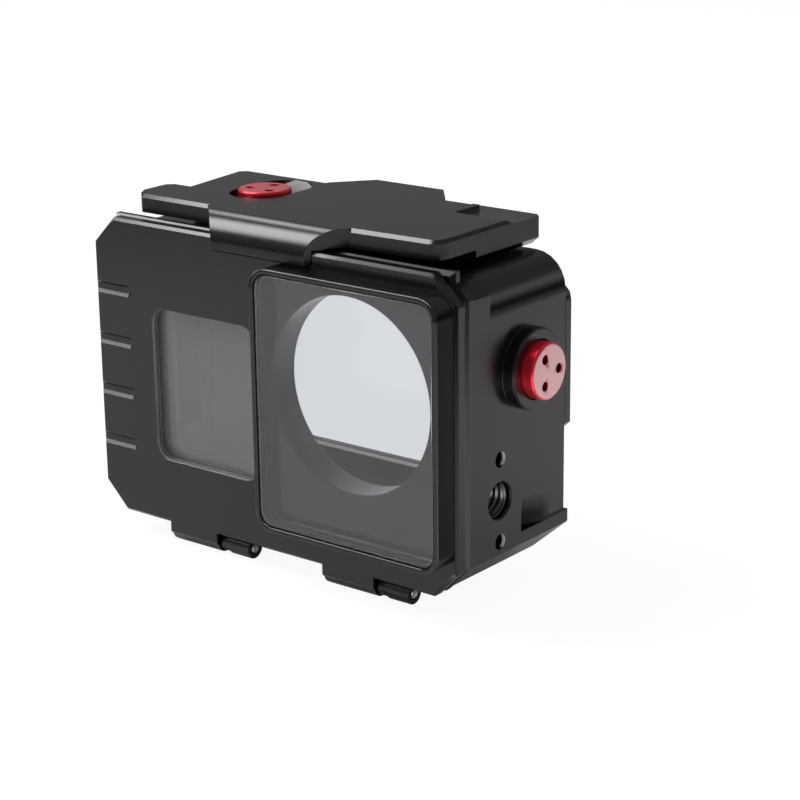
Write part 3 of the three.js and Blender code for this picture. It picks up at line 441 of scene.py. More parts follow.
def door_painted_shade(paint, direction):
    """Painted shade on the door: along its right edge in the port's shade, on the ledge right of the hook,
    on the walls of the grooves, and a painted shadow under the hook.
    """
    x, y, z = paint.millimetres()
    up = paint.axes(direction)[2]
    strip = x.fade(45.2, 45.4) * y.fade(0.7, 0.5)
    ledge_shade = x.fade(12.0, 20.0) * up.fade(0.3, 0.5) * z.fade(61.0, 61.6)
    groove = x.fade(-35.0, -35.5) * y.fade(0.02, 0.06) * z.within(13.0, 50.0, 0.1)
    lower = groove * up.fade(0.3, 0.6)
    upper = groove * up.fade(-0.3, -0.6)
    hook_shadow = x.within(-13.2, 11.6, 0.3) * z.within(59.5, 59.9, 0.08) * y.fade(0.1, 0.05)
    # Each pair is a painted shade with the share of light it takes
    return darkened((strip, 0.8), (ledge_shade, 0.7), (upper, 0.9), (hook_shadow, 0.93), (lower, 0.62))


def door_painted_light(paint, direction):
    """The wall of the display opening, painted pale as painted light."""
    x, y, z = paint.millimetres()
    wall = x.within(-30.7, -2.8, HAIR) * z.within(13.4, 45.6, HAIR) * y.fade(0.04, 0.1)
    return [(wall, (0.2, 0.202, 0.206))]


def frame_painted_light(paint, direction):
    """How bright the rear frame is: the walls of its window are painted paler, as painted light."""
    x, _, z = paint.millimetres()
    return 1.0 + abs(x).fade(*REAR_REVEAL) * z.within(9.3, 50.5, 0.1) * 7.0


def anodised(name, colour, roughness, metal, wear_and_gleam, shade=None, painted_pale=None):
    """Blasted and anodised metal: fine grain, a faint cloudiness, and paler edges that are partly abraded
    metal and partly a painted highlight. Its shade function adds painted light and shade, and its painted
    pale patches stand in for light.
    """
    finish = settings("finish")
    paint = Paint(name)
    cloud = paint.noise(38.0, 3.0, 0.55)
    grain = paint.noise(1.0 / finish.grain, 1.5, 0.6)
    speck = paint.noise(900.0, 2.0, 0.6)
    drag = paint.noise(1.0, 3.0, 0.6, paint.stretched((1100.0, 260.0, 90.0)))
    direction = paint.rounded(finish.edge)
    # Paler edges: partly abraded metal, partly a painted highlight along the edges
    edge_wear_and_gleam = (paint.edges(direction) * (0.35 + speck)).limited()
    tone = 0.92 + cloud * 0.12 + (speck - 0.5) * 0.08
    # Painted light and shade scale the tone; where they darken, the edges' painted highlight fades too
    if shade:
        dark = shade(paint, direction)
        tone = tone * dark
        wear_and_gleam = dark.limited() * wear_and_gleam
    pale = tuple(min(1.0, c * 3.5 + 0.1) for c in colour)
    base = paint.mix(edge_wear_and_gleam * wear_and_gleam, paint.shade(colour, tone), pale)
    # Painted pale patches stand in for light; each is mixed in and made less metallic
    for mask, painted_colour in painted_pale(paint, direction) if painted_pale else ():
        base = paint.mix(mask, base, painted_colour)
        metal = metal - mask * 0.85
    paint.set(
        Base_Color=base,
        Roughness=(roughness - 0.05 + cloud * 0.06 + (drag - 0.5) * 0.05 - edge_wear_and_gleam * 0.04),
        Metallic=metal,
        Normal=paint.bump(grain, 0.05, SKIN_DEPTH, direction),
    )
    return paint.material


def cap_red(name, axis, share, top, wall):
    """Red anodising whose outer face, which looks along an axis, is painted paler than its sides as a
    painted sheen, while the wall factor brightens its sides as painted light.

    Below that face, at the height of top, the three blind holes are painted dark as painted shade, and a
    painted highlight runs along the rim.
    """
    finish = settings("finish")
    colour = tuple(finish.red)
    paint = Paint(name)
    cloud = paint.noise(120.0, 2.0)
    grain = paint.noise(1.0 / finish.grain, 1.5, 0.6)
    direction = paint.rounded(finish.edge * 0.6)
    # Painted sheen: the outer face is painted paler, more on the side button
    outer = ((paint.alike(direction, axis) - 0.9) * 12.0).limited()
    places = paint.millimetres()
    level = places[0 if axis[0] else 2]
    centre = BUTTON_CENTRES[name.split(" ")[0]]
    squares = [(part - middle) ** 2.0 for part, middle in zip(places, centre) if middle is not None]
    from_axis = (squares[0] + squares[1]) ** 0.5
    # Painted shade: the three blind holes are painted near black
    hollow = from_axis.fade(*HOLES_REACH) * level.fade(top - 0.08, top - 0.2)
    # A painted highlight along the rounded rim
    rim = (paint.edges(direction) * 0.8).limited()
    pale = tuple(c + (1.0 - c) * share for c in colour)
    base = paint.mix(outer, paint.shade(colour, wall * (0.9 + cloud * 0.15)), pale)
    base = paint.mix(hollow * 0.93, base, (0.02, 0.004, 0.005))
    bright = tuple(min(1.0, c * 0.4 + 0.6) for c in colour)
    paint.set(
        Base_Color=paint.mix(rim * (1.0 - hollow) * 0.6, base, bright),
        Roughness=(finish.red_roughness - 0.04 + cloud * 0.08 + outer * 0.1),
        Metallic=0.7,
        Coat_Weight=(0.3 - outer * 0.1),
        Normal=paint.bump(grain, 0.04, SKIN_DEPTH, direction),
    )
    return paint.material


def turned_metal(name, colour, roughness):
    """Bright metal with fine tool marks."""
    finish = settings("finish")
    paint = Paint(name)
    marks = paint.noise(1.0, 2.0, 0.6, paint.stretched((9000.0, 900.0, 900.0)))
    cloud = paint.noise(180.0, 2.0)
    direction = paint.rounded(finish.edge * 0.4)
    paint.set(
        Base_Color=paint.shade(colour, 0.88 + cloud * 0.2),
        Roughness=(roughness - 0.05 + marks * 0.12),
        Metallic=1.0,
        Normal=paint.bump(marks, 0.08, 0.00002, direction),
    )
    return paint.material


def moulded(name, colour, roughness, coarse=1400.0):
    """Rubber or polymer: matt, with a soft mottle and a fine skin."""
    paint = Paint(name)
    skin = paint.noise(coarse, 3.0, 0.6)
    cloud = paint.noise(150.0, 2.0)
    paint.set(
        Base_Color=paint.shade(colour, 0.8 + cloud * 0.35),
        Roughness=(roughness - 0.08 + skin * 0.16),
        Normal=paint.bump(skin, 0.15, SKIN_DEPTH),
    )
    return paint.material


def window_glass(name, colour, veil=0.0):
    """Clear polished glass with a faint smear, and a thin milky veil where it has a film."""
    paint = Paint(name)
    cloud = paint.noise(70.0, 3.0, 0.6)
    ripple = paint.noise(25.0, 1.0, 0.4)
    paint.set(
        Base_Color=paint.shade(colour, 0.985 + cloud * 0.03),
        Roughness=cloud * 0.03,
        Transmission_Weight=1.0 - veil,
        IOR=1.45,
        Normal=paint.bump(ripple, 0.02, 0.0001),
    )
    return paint.material


PALETTE = {}
COATED_METAL = 0.92


def palette(name):
    """The material of that name, made when it is first asked for."""
    if name not in PALETTE:
        finish = settings("finish")
        dark, skin, glass = tuple(finish.dark), finish.dark_roughness, tuple(finish.glass)

        def coated(label, wear_and_gleam, *tones):
            return anodised(label + " anodised", dark, skin, COATED_METAL, wear_and_gleam, *tones)

        makers = {
            "black_anodised": lambda: coated("black", 0.5),
            "shell": lambda: coated("shell", 0.5, shell_painted_shading, shell_painted_pale),
            "frame": lambda: coated("frame", 0.5, frame_painted_light),
            "port": lambda: coated("port", 0.6, port_painted_shade),
            "door": lambda: coated("door", 0.6, door_painted_shade, door_painted_light),
            # The retainer is painted a paler grey than the black anodising, as painted light seen through
            # the display
            "keeper": lambda: anodised("keeper anodised", (0.17, 0.171, 0.174), 0.5, 0.25, 0.3),
            "steel": lambda: turned_metal("turned steel", tuple(finish.steel), 0.28),
            "dark_steel": lambda: turned_metal("blackened steel", (0.11, 0.11, 0.115), 0.3),
            "rubber": lambda: moulded("seal rubber", tuple(finish.rubber), 0.7),
            # The gaskets and pads are painted paler than the dark seals, as painted light on what the
            # windows show
            "pale_rubber": lambda: moulded("gasket rubber", (0.15, 0.151, 0.154), 0.6),
            "polymer": lambda: moulded("sleeve polymer", tuple(finish.polymer), 0.5, 700.0),
            "window_glass": lambda: window_glass("window glass", glass),
            "port_glass": lambda: window_glass("port glass", glass, 0.02),
            "display_glass": lambda: window_glass("display glass", glass, 0.09),
        }
        PALETTE[name] = makers[name]()
    return PALETTE[name]


# Modelling


WELD = 2e-6
FLAT_ANGLE = math.radians(0.6)
SMOOTH_ANGLE = math.radians(35)

# The panes in the door and the back: left, right, front, back, bottom and top, in millimetres
DISPLAY_PANE = (-32.1, -1.4, 2.0, 3.6, 12.0, 47.0)
REAR_PANE = (-29.2, 29.2, 33.3, 34.85, 9.5, 50.3)
PANE_RADIUS = 4.9
PANE_EDGE = 0.15


def nothing_selected():
    """Leaves edit mode and deselects everything."""
    if bpy.context.mode != "OBJECT":
        bpy.ops.object.mode_set(mode="OBJECT")
    bpy.ops.object.select_all(action="DESELECT")


def only(piece):
    """Selects one object and makes it the active one."""
    nothing_selected()
    piece.select_set(True)
    bpy.context.view_layer.objects.active = piece


def pick(piece, kind, test):
    """In edit mode, selects the faces or edges whose middle and direction pass a test."""
    bpy.ops.mesh.select_mode(type=kind)
    bpy.ops.mesh.select_all(action="DESELECT")
    mesh = bmesh.from_edit_mesh(piece.data)
    if kind == "FACE":
        for face in mesh.faces:
            face.select_set(test(face.calc_center_median(), face.normal))
    else:
        for edge in mesh.edges:
            first, second = (v.co for v in edge.verts)
            if test((first + second) / 2, (second - first).normalized()):
                edge.select_set(True)
    bmesh.update_edit_mesh(piece.data)


def add_modifier(piece, kind, **options):
    """Adds a modifier and applies it."""
    only(piece)
    made = piece.modifiers.new(kind.title(), kind)
    for key, value in options.items():
        setattr(made, key, value)
    bpy.ops.object.modifier_apply(modifier=made.name)


def chain_start(name, first):
    """A new object in edit mode that holds one selected vertex."""
    nothing_selected()
    bpy.ops.mesh.primitive_plane_add(size=0.001, location=(0, 0, 0))
    piece = bpy.context.object
    piece.name = name
    piece.data.name = name
    bpy.ops.object.mode_set(mode="EDIT")
    bpy.ops.mesh.select_mode(type="VERT")
    bpy.ops.mesh.select_all(action="SELECT")
    bpy.ops.mesh.merge(type="CENTER")
    bpy.ops.transform.translate(value=first)
    return piece


def chain(points):
    """In edit mode, extrudes the selected vertex from the first point along the others."""
    for before, after in zip(points, points[1:]):
        step = Vector(after) - Vector(before)
        bpy.ops.mesh.extrude_region_move(TRANSFORM_OT_translate={"value": step})


def lathe(name, profile, sides):
    """A turned piece about the z axis: the profile gives radius and height in millimetres."""
    points = [Vector((radius * MM, 0, height * MM)) for radius, height in profile]
    piece = chain_start(name, points[0])
    chain(points)
    bpy.ops.mesh.select_all(action="SELECT")
    bpy.ops.mesh.spin(steps=sides, angle=2 * math.pi, center=(0, 0, 0), axis=(0, 0, 1))
    bpy.ops.mesh.select_all(action="SELECT")
    bpy.ops.mesh.remove_doubles(threshold=1e-7)
    bpy.ops.mesh.normals_make_consistent(inside=False)
    bpy.ops.object.mode_set(mode="OBJECT")
    return piece


def plate_piece(name, left, right, front, back, bottom, top, radius, segments=8):
    """A rounded plate facing the front, from a cube whose four corners are rounded.

    It is left in edit mode.
    """
    nothing_selected()
    middle = at((left + right) / 2, (front + back) / 2, (bottom + top) / 2)
    size = Vector((right - left, back - front, top - bottom)) * MM
    bpy.ops.mesh.primitive_cube_add(size=1, location=middle, scale=size)
    piece = bpy.context.object
    piece.name = name
    piece.data.name = name
    bpy.ops.object.transform_apply(location=True, rotation=True, scale=True)
    bpy.ops.object.mode_set(mode="EDIT")
    pick(piece, "EDGE", lambda middle, way: abs(way.y) > 0.99)
    bpy.ops.mesh.bevel(offset=radius * MM, segments=segments, affect="EDGES")
    return piece


def cut_out(piece, tool):
    """Cuts one object out of another and deletes the tool."""
    add_modifier(piece, "BOOLEAN", operation="DIFFERENCE", solver="EXACT", object=tool)
    only(tool)
    bpy.ops.object.delete()
    only(piece)


def rod(centre, radius, depth, axis, sides):
    """A plain round cutter along an axis: its centre is a place in the scene, its sizes millimetres."""
    nothing_selected()
    turn = axis.to_track_quat("Z", "Y").to_euler()
    bpy.ops.mesh.primitive_cylinder_add(
        vertices=sides, radius=radius * MM, depth=depth * MM, location=centre, rotation=turn
    )
    return bpy.context.object


def broken_edges(piece, width, segments=2, angle=40):
    """Breaks the sharp edges with a small bevel."""
    add_modifier(
        piece,
        "BEVEL",
        width=width,
        segments=segments,
        limit_method="ANGLE",
        angle_limit=math.radians(angle),
        harden_normals=True,
    )


def wound(piece, turns, rise, steps):
    """Winds an open profile about the z axis, and closes its ends: the rise is in millimetres."""
    add_modifier(
        piece,
        "SCREW",
        axis="Z",
        angle=turns * 2 * math.pi,
        screw_offset=rise * MM,
        steps=steps,
        render_steps=steps,
        use_smooth_shade=True,
    )
    bpy.ops.object.mode_set(mode="EDIT")
    bpy.ops.mesh.select_all(action="SELECT")
    bpy.ops.mesh.fill_holes(sides=0)
    bpy.ops.mesh.select_all(action="SELECT")
    bpy.ops.mesh.normals_make_consistent(inside=False)
    bpy.ops.object.mode_set(mode="OBJECT")


def settle(piece, matrix):
    """Moves a finished piece to its place and applies that to its mesh."""
    only(piece)
    piece.matrix_world = matrix
    bpy.ops.object.transform_apply(location=True, rotation=True, scale=True)


def along_x(low, high):
    """Turns the z axis along x, from the middle of a box's left side."""
    middle = (low + high) / 2
    return Matrix.Translation((low.x, middle.y, middle.z)) @ Matrix.Rotation(QUARTER, 4, "Y")


def refined(node, name):
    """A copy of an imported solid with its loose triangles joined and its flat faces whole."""
    nothing_selected()
    source = NODES[node]
    source.select_set(True)
    bpy.context.view_layer.objects.active = source
    bpy.ops.object.duplicate()
    piece = bpy.context.object
    piece.name = name
    piece.data.name = name
    for key in list(piece.keys()):
        del piece[key]
    bpy.ops.object.parent_clear(type="CLEAR_KEEP_TRANSFORM")
    if piece.data.has_custom_normals:
        bpy.ops.mesh.customdata_custom_splitnormals_clear()
    bpy.ops.object.mode_set(mode="EDIT")
    bpy.ops.mesh.select_all(action="SELECT")
    bpy.ops.mesh.remove_doubles(threshold=WELD)
    bpy.ops.mesh.dissolve_limited(angle_limit=FLAT_ANGLE)
    bpy.ops.object.mode_set(mode="OBJECT")
    return piece


def finished(piece, body, slot, nodes=(), material=None):
    """Smooths a piece, gives it its material, and joins it to its body."""
    only(piece)
    bpy.ops.object.shade_smooth_by_angle(angle=SMOOTH_ANGLE)
    add_modifier(piece, "WEIGHTED_NORMAL", keep_sharp=True, weight=80)
    piece.data.materials.clear()
    piece.data.materials.append(material or palette(slot))
    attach(piece, body)
    if nodes:
        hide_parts(*nodes)


def window_pane(name, node, body, box, radius, glass="window_glass"):
    """A pane of glass: its box gives left, right, front, back, bottom and top."""
    pane = plate_piece(name, *box, radius)
    bpy.ops.object.mode_set(mode="OBJECT")
    broken_edges(pane, PANE_EDGE * MM)
    finished(pane, body, "window_glass", [node], material=palette(glass))


# One operator for the stage and one for each piece or group of pieces


# The camera, fitted to the photograph: degrees of turn, millimetres of place and of lens
CAMERA_TURN = (38.34, 17.27, -0.69)
CAMERA_PLACE = (279.4, -311.7, 161.0)
CAMERA_LENS = 101.25
CAMERA_SENSOR = 36

FLOOR_SIZE = 6
FLOOR_GAP = 0.0002

# Each lamp's place and size in metres; its power is the setting of the same name
LAMPS = {
    "key": ((-0.49, -0.25, 0.645), (0.4, 0.64)),
    "back": ((0.5, 0.72, 0.29), (0.5, 0.2)),
    "top": ((-0.5, 0.3, 0.62), (0.2, 0.2)),
}


class HOUSING_OT_stage(bpy.types.Operator):
    """Adds the camera, the floor, the lamps and the surroundings"""

    bl_idname = "housing.stage"
    bl_label = "Stage"

    def execute(self, context):
        scene = context.scene
        scene.view_settings.view_transform = "Standard"
        self.camera(scene)
        self.floor()
        self.lamps()
        self.world(scene)
        return {"FINISHED"}

    def camera(self, scene):
        """The camera stands where the photograph was taken."""
        nothing_selected()
        azimuth, elevation, roll = (math.radians(turn) for turn in CAMERA_TURN)
        back = Vector(
            (
                math.sin(azimuth) * math.cos(elevation),
                -math.cos(azimuth) * math.cos(elevation),
                math.sin(elevation),
            )
        )
        across = Vector((math.cos(azimuth), math.sin(azimuth), 0))
        above = back.cross(across)
        right = across * math.cos(roll) + above * math.sin(roll)
        up = above * math.cos(roll) - across * math.sin(roll)
        bpy.ops.object.camera_add()
        camera = bpy.context.object
        camera.name = "camera"
        turn = Matrix((right, up, back)).transposed().to_4x4()
        camera.matrix_world = Matrix.Translation(at(*CAMERA_PLACE)) @ turn
        camera.data.lens = CAMERA_LENS
        camera.data.sensor_width = CAMERA_SENSOR
        camera.data.clip_start = 0.01
        camera.data.clip_end = 20
        scene.camera = camera

    def floor(self):
        """A wide pale floor that keeps a soft shadow.

        It is white where it is seen. Where the housing mirrors it, it is dimmer, most of all under
        the housing, close before it and far away, and a strip before it on the right is bright.
        """
        nothing_selected()
        below = CAD_BOUNDS[0].z - FLOOR_GAP
        bpy.ops.mesh.primitive_plane_add(size=FLOOR_SIZE, location=(0, 0, below))
        floor = bpy.context.object
        floor.name = "floor"
        paint = Paint("pale floor")
        paint.set(Base_Color=(0.86, 0.86, 0.86), Roughness=0.9, Specular_IOR_Level=0.1)
        rays = paint.node("ShaderNodeLightPath")
        seen = Value(paint, rays.outputs["Is Camera Ray"])
        glossy = Value(paint, rays.outputs["Is Glossy Ray"])
        through = Value(paint, rays.outputs["Is Transmission Ray"])
        x, y, _ = paint.axes(paint.place)
        radius = (x * x + y * y) ** 0.5
        card = abs(x * 0.62 + y * 0.784 - 0.0144).fade(0.016, 0.006)
        card = card * x.fade(0.04, 0.06) * x.fade(0.24, 0.2)
        shaded = abs(x).fade(0.052, 0.044) * abs(y).fade(0.03, 0.022)
        bright = paint.shade((1, 1, 1), 1.04 + card * glossy * 3.0)
        white = paint.node("ShaderNodeEmission", {}, {"Color": bright, "Strength": 1.0})
        mirrored = (0.37 + card * 0.63) * (1.0 - shaded * 0.8)
        white_share = (seen * 0.9 + glossy * mirrored + through * 0.9).limited()
        black = paint.node("ShaderNodeEmission", {}, {"Color": (0, 0, 0), "Strength": 0.0})
        near_front = y.fade(0.0, -0.04) * x.fade(0.1, 0.05)
        black_share = glossy * (radius.fade(0.28, 0.5) * 0.85 + near_front * 0.27).limited()
        surface = paint.shader
        for share, shader in ((white_share, white), (black_share, black)):
            inputs = {0: share, 1: surface.outputs[0], 2: shader.outputs[0]}
            surface = paint.node("ShaderNodeMixShader", {}, inputs)
        paint.feed(paint.output.inputs["Surface"], surface.outputs[0])
        floor.data.materials.append(paint.material)

    def lamp(self, name, place, target, size, power):
        """One soft rectangular lamp."""
        nothing_selected()
        bpy.ops.object.light_add(type="AREA", location=place)
        lamp = bpy.context.object
        lamp.name = name
        lamp.rotation_euler = (Vector(target) - Vector(place)).to_track_quat("-Z", "Y").to_euler()
        lamp.data.shape = "RECTANGLE"
        lamp.data.size, lamp.data.size_y = size
        lamp.data.energy = power

    def lamps(self):
        """A soft key from the upper left, a low strip behind on the right, and a small high lamp."""
        middle = at(0, 20, 30)
        for name, (place, size) in LAMPS.items():
            self.lamp(name, place, middle, size, getattr(settings("stage"), name))

    def world(self, scene):
        """White where it is seen or looked through, darker where it is reflected, plain light elsewhere."""
        world = bpy.data.worlds.new("studio")
        scene.world = world
        world.use_nodes = True
        tree = world.node_tree
        tree.nodes.clear()
        rays = tree.nodes.new("ShaderNodeLightPath").outputs

        def background(strength):
            made = tree.nodes.new("ShaderNodeBackground")
            made.inputs["Color"].default_value = (1, 1, 1, 1)
            made.inputs["Strength"].default_value = strength
            return made

        def joined(kind, *sockets):
            made = tree.nodes.new(kind)
            for index, socket in enumerate(sockets):
                tree.links.new(socket, made.inputs[index])
            return made

        plain = background(settings("stage").world)
        white = background(1.0)
        dim = background(settings("stage").gleam)
        either = joined("ShaderNodeMath", rays["Is Camera Ray"], rays["Is Transmission Ray"])
        either.operation = "MAXIMUM"
        glossy = rays["Is Glossy Ray"]
        lit = joined("ShaderNodeMixShader", glossy, plain.outputs[0], dim.outputs[0])
        mix = joined("ShaderNodeMixShader", either.outputs[0], lit.outputs[0], white.outputs[0])
        output = tree.nodes.new("ShaderNodeOutputWorld")
        tree.links.new(mix.outputs[0], output.inputs["Surface"])


class HOUSING_OT_shell(bpy.types.Operator):
    """Adds the deep body with its bores, knuckles and lugs"""

    bl_idname = "housing.shell"
    bl_label = "Body Shell"

    def execute(self, context):
        shell = refined("main_housing", "body_shell")
        finished(shell, "case", "black_anodised", ["main_housing"], material=palette("shell"))
        return {"FINISHED"}


class HOUSING_OT_door(bpy.types.Operator):
    """Adds the front door"""

    bl_idname = "housing.door"
    bl_label = "Front Door"

    def execute(self, context):
        door = refined("front_door", "door_plate")
        finished(door, "door", "black_anodised", ["front_door"], material=palette("door"))
        return {"FINISHED"}


# The lens port, in millimetres of the door's frame: its left, right, bottom and top, then where its
# rim, the glass's shelf and its floor are along y, and its glass's front and back. BOND is how thick
# the joint between it and the door is.
PORT_SIDES = (0.63, 45.43, 6.5, 59.3)
PORT_LEVELS = (-5.25, -2.35, -0.9)
PORT_PANE = (-5.05, -3.45)
PORT_RADIUS = 4.2
LENS_PLACE = (21.63, -0.6, 36.4)
LENS_RADIUS = 19.4
LENS_REACH = 4
BOND = 0.3


class HOUSING_OT_lens_port(bpy.types.Operator):
    """Adds the raised lens port with its glass, seal and bond line"""

    bl_idname = "housing.lens_port"
    bl_label = "Lens Port"

    def execute(self, context):
        left, right, bottom, top = PORT_SIDES
        front, shelf, floor = PORT_LEVELS
        port = plate_piece("port_frame", left, right, front, -BOND, bottom, top, PORT_RADIUS, 10)
        pick(port, "FACE", lambda middle, way: way.y < -0.99)
        self.step(1.0, shelf - front)
        self.step(0.5, floor - shelf)
        bpy.ops.object.mode_set(mode="OBJECT")
        cut_out(port, rod(at(*LENS_PLACE), LENS_RADIUS, LENS_REACH, BACK, 128))
        broken_edges(port, settings("detail").bevel)
        finished(port, "door", "black_anodised", ["lens_port_frame"], material=palette("port"))

        inset = 1.3
        box = (left + inset, right - inset, *PORT_PANE, bottom + inset, top - inset)
        window_pane("port_glass", "lens_port_glass", "door", box, PORT_RADIUS - inset, "port_glass")

        finished(refined("lens_port_seal", "port_seal"), "door", "rubber", ["lens_port_seal"])

        inset = 0.15
        box = (left + inset, right - inset, -BOND, 0.0, bottom + inset, top - inset)
        bond = plate_piece("port_bond", *box, PORT_RADIUS)
        pick(bond, "FACE", lambda middle, way: abs(way.y) > 0.99)
        bpy.ops.mesh.inset(thickness=1.2 * MM, use_even_offset=True)
        bpy.ops.mesh.bridge_edge_loops()
        bpy.ops.object.mode_set(mode="OBJECT")
        finished(bond, "door", "rubber")
        return {"FINISHED"}

    def step(self, width, depth):
        """In edit mode, sinks the selected face behind a rim of that width."""
        bpy.ops.mesh.inset(thickness=width * MM, use_even_offset=True)
        bpy.ops.mesh.extrude_region_move(TRANSFORM_OT_translate={"value": (0, depth * MM, 0)})


class HOUSING_OT_display_window(bpy.types.Operator):
    """Adds the small window in the door, with its seal and retainer"""

    bl_idname = "housing.display_window"
    bl_label = "Display Window"

    def execute(self, context):
        window_pane("display_pane", "display_glass", "door", DISPLAY_PANE, PANE_RADIUS, "display_glass")
        gasket = refined("display_seal", "display_gasket")
        finished(gasket, "door", "rubber", ["display_seal"], material=palette("pale_rubber"))
        keeper = refined("display_retainer", "display_keeper")
        finished(keeper, "door", "black_anodised", ["display_retainer"], material=palette("keeper"))
        return {"FINISHED"}


class HOUSING_OT_rear_window(bpy.types.Operator):
    """Adds the rear window with its frame and seal"""

    bl_idname = "housing.rear_window"
    bl_label = "Rear Window"

    def execute(self, context):
        window_pane("rear_pane", "rear_window_glass", "case", REAR_PANE, PANE_RADIUS)
        gasket = refined("rear_window_seal", "rear_gasket")
        finished(gasket, "case", "rubber", ["rear_window_seal"], material=palette("pale_rubber"))
        rear = refined("rear_window_frame", "rear_frame")
        finished(rear, "case", "black_anodised", ["rear_window_frame"], material=palette("frame"))
        return {"FINISHED"}


class HOUSING_OT_latch(bpy.types.Operator):
    """Adds the latch plate over the top"""

    bl_idname = "housing.latch"
    bl_label = "Latch Plate"

    def execute(self, context):
        finished(refined("latch_plate", "latch"), "latch", "black_anodised", ["latch_plate"])
        return {"FINISHED"}


# The buttons, in millimetres. "place" is on the housing with its z axis outwards, and "top" and "seat"
# are the cap's face and the spring's rest along it. "height" is the cap's, "wall" the housing's
# thickness. "level" is the cap's face in the door's frame. "pale" is how strong the painted sheen on
# its face is, and "side" how much painted light brightens its wall.
BUTTON_CENTRES = {"top_button": (-18.5, 21.8, None), "side_button": (None, 22.1, 40.8)}
BUTTONS = {
    "top_button": {
        "place": Matrix.Translation(at(-18.5, 21.8, 60.2)),
        "axis": (0, 0, 1),
        "pale": 0.1,
        "level": 67.5,
        "side": 1.0,
        "radius": 5.45,
        "top": 7.3,
        "height": 5.0,
        "seat": 0.0,
        "wall": 2.3,
    },
    "side_button": {
        "place": Matrix.Translation(at(46, 22.1, 40.8)) @ Matrix.Rotation(QUARTER, 4, "Y"),
        "axis": (1, 0, 0),
        "pale": 0.46,
        "level": 51.2,
        "side": 1.55,
        "radius": 5.6,
        "top": 5.2,
        "height": 3.3,
        "seat": -0.7,
        "wall": 3.4,
    },
}


CAP_ROOF = 1.6
CAP_GAP = 0.3
CAP_HOLE_CIRCLE = 3.0
STEM = 1.5
RING_DROP, RING_PITCH = 1.55, 2.1
RING_RADIUS, RING_WIRE = 2.25, 0.45


class HOUSING_OT_buttons(bpy.types.Operator):
    """Adds the two push buttons with their shafts, clips, springs, sleeves and seals"""

    bl_idname = "housing.buttons"
    bl_label = "Push Buttons"

    def execute(self, context):
        for name, size in BUTTONS.items():
            self.cap(name, size)
            self.shaft(name, size)
            self.clip(name, size)
            self.spring(name, size)
            self.sleeve(name, size)
        return {"FINISHED"}

    def cap(self, name, size):
        """A hollow cap with a broken edge and three blind holes."""
        radius, top = size["radius"], size["top"]
        bottom, roof = top - size["height"], top - CAP_ROOF
        piece = lathe(
            name + "_knob",
            [
                (0, roof),
                (radius - 1, roof),
                (radius - 1, bottom),
                (radius - 0.15, bottom),
                (radius, bottom + 0.15),
                (radius, top - 0.55),
                (radius - 0.08, top - 0.28),
                (radius - 0.28, top - 0.08),
                (radius - 0.55, top),
                (0, top),
            ],
            96,
        )
        for index in range(3):
            angle = QUARTER + index * 2 * math.pi / 3
            across, along = CAP_HOLE_CIRCLE * math.cos(angle), CAP_HOLE_CIRCLE * math.sin(angle)
            place = Vector((across, along, top)) * MM
            cut_out(piece, rod(place, 0.95, 1.6, UP, 32))
        broken_edges(piece, 0.08 * MM, 2, 60)
        settle(piece, size["place"])
        material = cap_red(name + " anodised", size["axis"], size["pale"], size["level"], size["side"])
        finished(piece, name, "red_anodised", [name + "_cap"], material=material)

    def shaft(self, name, size):
        """The shaft with its clip groove and a chamfered tip."""
        top = size["top"] - CAP_ROOF - CAP_GAP
        clip = -size["wall"] - 3.4
        foot = clip - 1.0
        piece = lathe(
            name + "_stem",
            [
                (0, foot - 0.8),
                (STEM - 0.3, foot - 0.8),
                (STEM, foot - 0.5),
                (STEM, foot),
                (STEM - 0.4, foot),
                (STEM - 0.4, clip + 0.3),
                (STEM, clip + 0.3),
                (STEM, top - 0.2),
                (STEM - 0.2, top),
                (0, top),
            ],
            40,
        )
        settle(piece, size["place"])
        finished(piece, name, "steel", [name + "_shaft"])

    def clip(self, name, size):
        """The open clip on the shaft."""
        piece = refined(name + "_clip", name + "_circlip")
        finished(piece, name, "steel", [name + "_clip"])

    def spring(self, name, size):
        """A coil wound with the screw modifier from a circle of wire."""
        wire, mean = 0.3, 3.2
        low = size["seat"] + CAP_GAP + wire
        high = size["top"] - CAP_ROOF - CAP_GAP - wire
        turns = settings("detail").spring_turns
        nothing_selected()
        bpy.ops.mesh.primitive_circle_add(
            vertices=12,
            radius=wire * MM,
            fill_type="NOTHING",
            location=(mean * MM, 0, low * MM),
            rotation=(QUARTER, 0, 0),
        )
        piece = bpy.context.object
        piece.name = name + "_coil"
        bpy.ops.object.transform_apply(location=True, rotation=True, scale=True)
        wound(piece, turns, high - low, turns * 40)
        settle(piece, size["place"])
        finished(piece, "case", "steel", [name + "_spring"])

    def sleeve(self, name, size):
        """The sleeve in the wall, and its two shaft seals."""
        piece = refined(name + "_bushing", name + "_sleeve")
        finished(piece, "case", "polymer", [name + "_bushing"])
        for index, which in enumerate(("outer", "inner")):
            height = size["seat"] - RING_DROP - RING_PITCH * index
            nothing_selected()
            bpy.ops.mesh.primitive_torus_add(
                major_radius=RING_RADIUS * MM,
                minor_radius=RING_WIRE * MM,
                major_segments=40,
                minor_segments=14,
                location=(0, 0, height * MM),
            )
            ring = bpy.context.object
            ring.name = f"{name}_ring_{which}"
            bpy.ops.object.transform_apply(location=True, rotation=True, scale=True)
            settle(ring, size["place"])
            finished(ring, "case", "rubber", [f"{name}_seal_{which}"])


# How many screws of each kind, their body, the radius and height of the head, the radius of the
# shank, and how deep its hole is; the shank ends 0.3 mm above the hole's floor
SCREWS = {
    "rear_frame_screw": (6, "case", 1.9, 0.9, 0.9, 3.2),
    "retainer_screw": (4, "door", 1.4, 0.5, 0.7, 2.6),
}


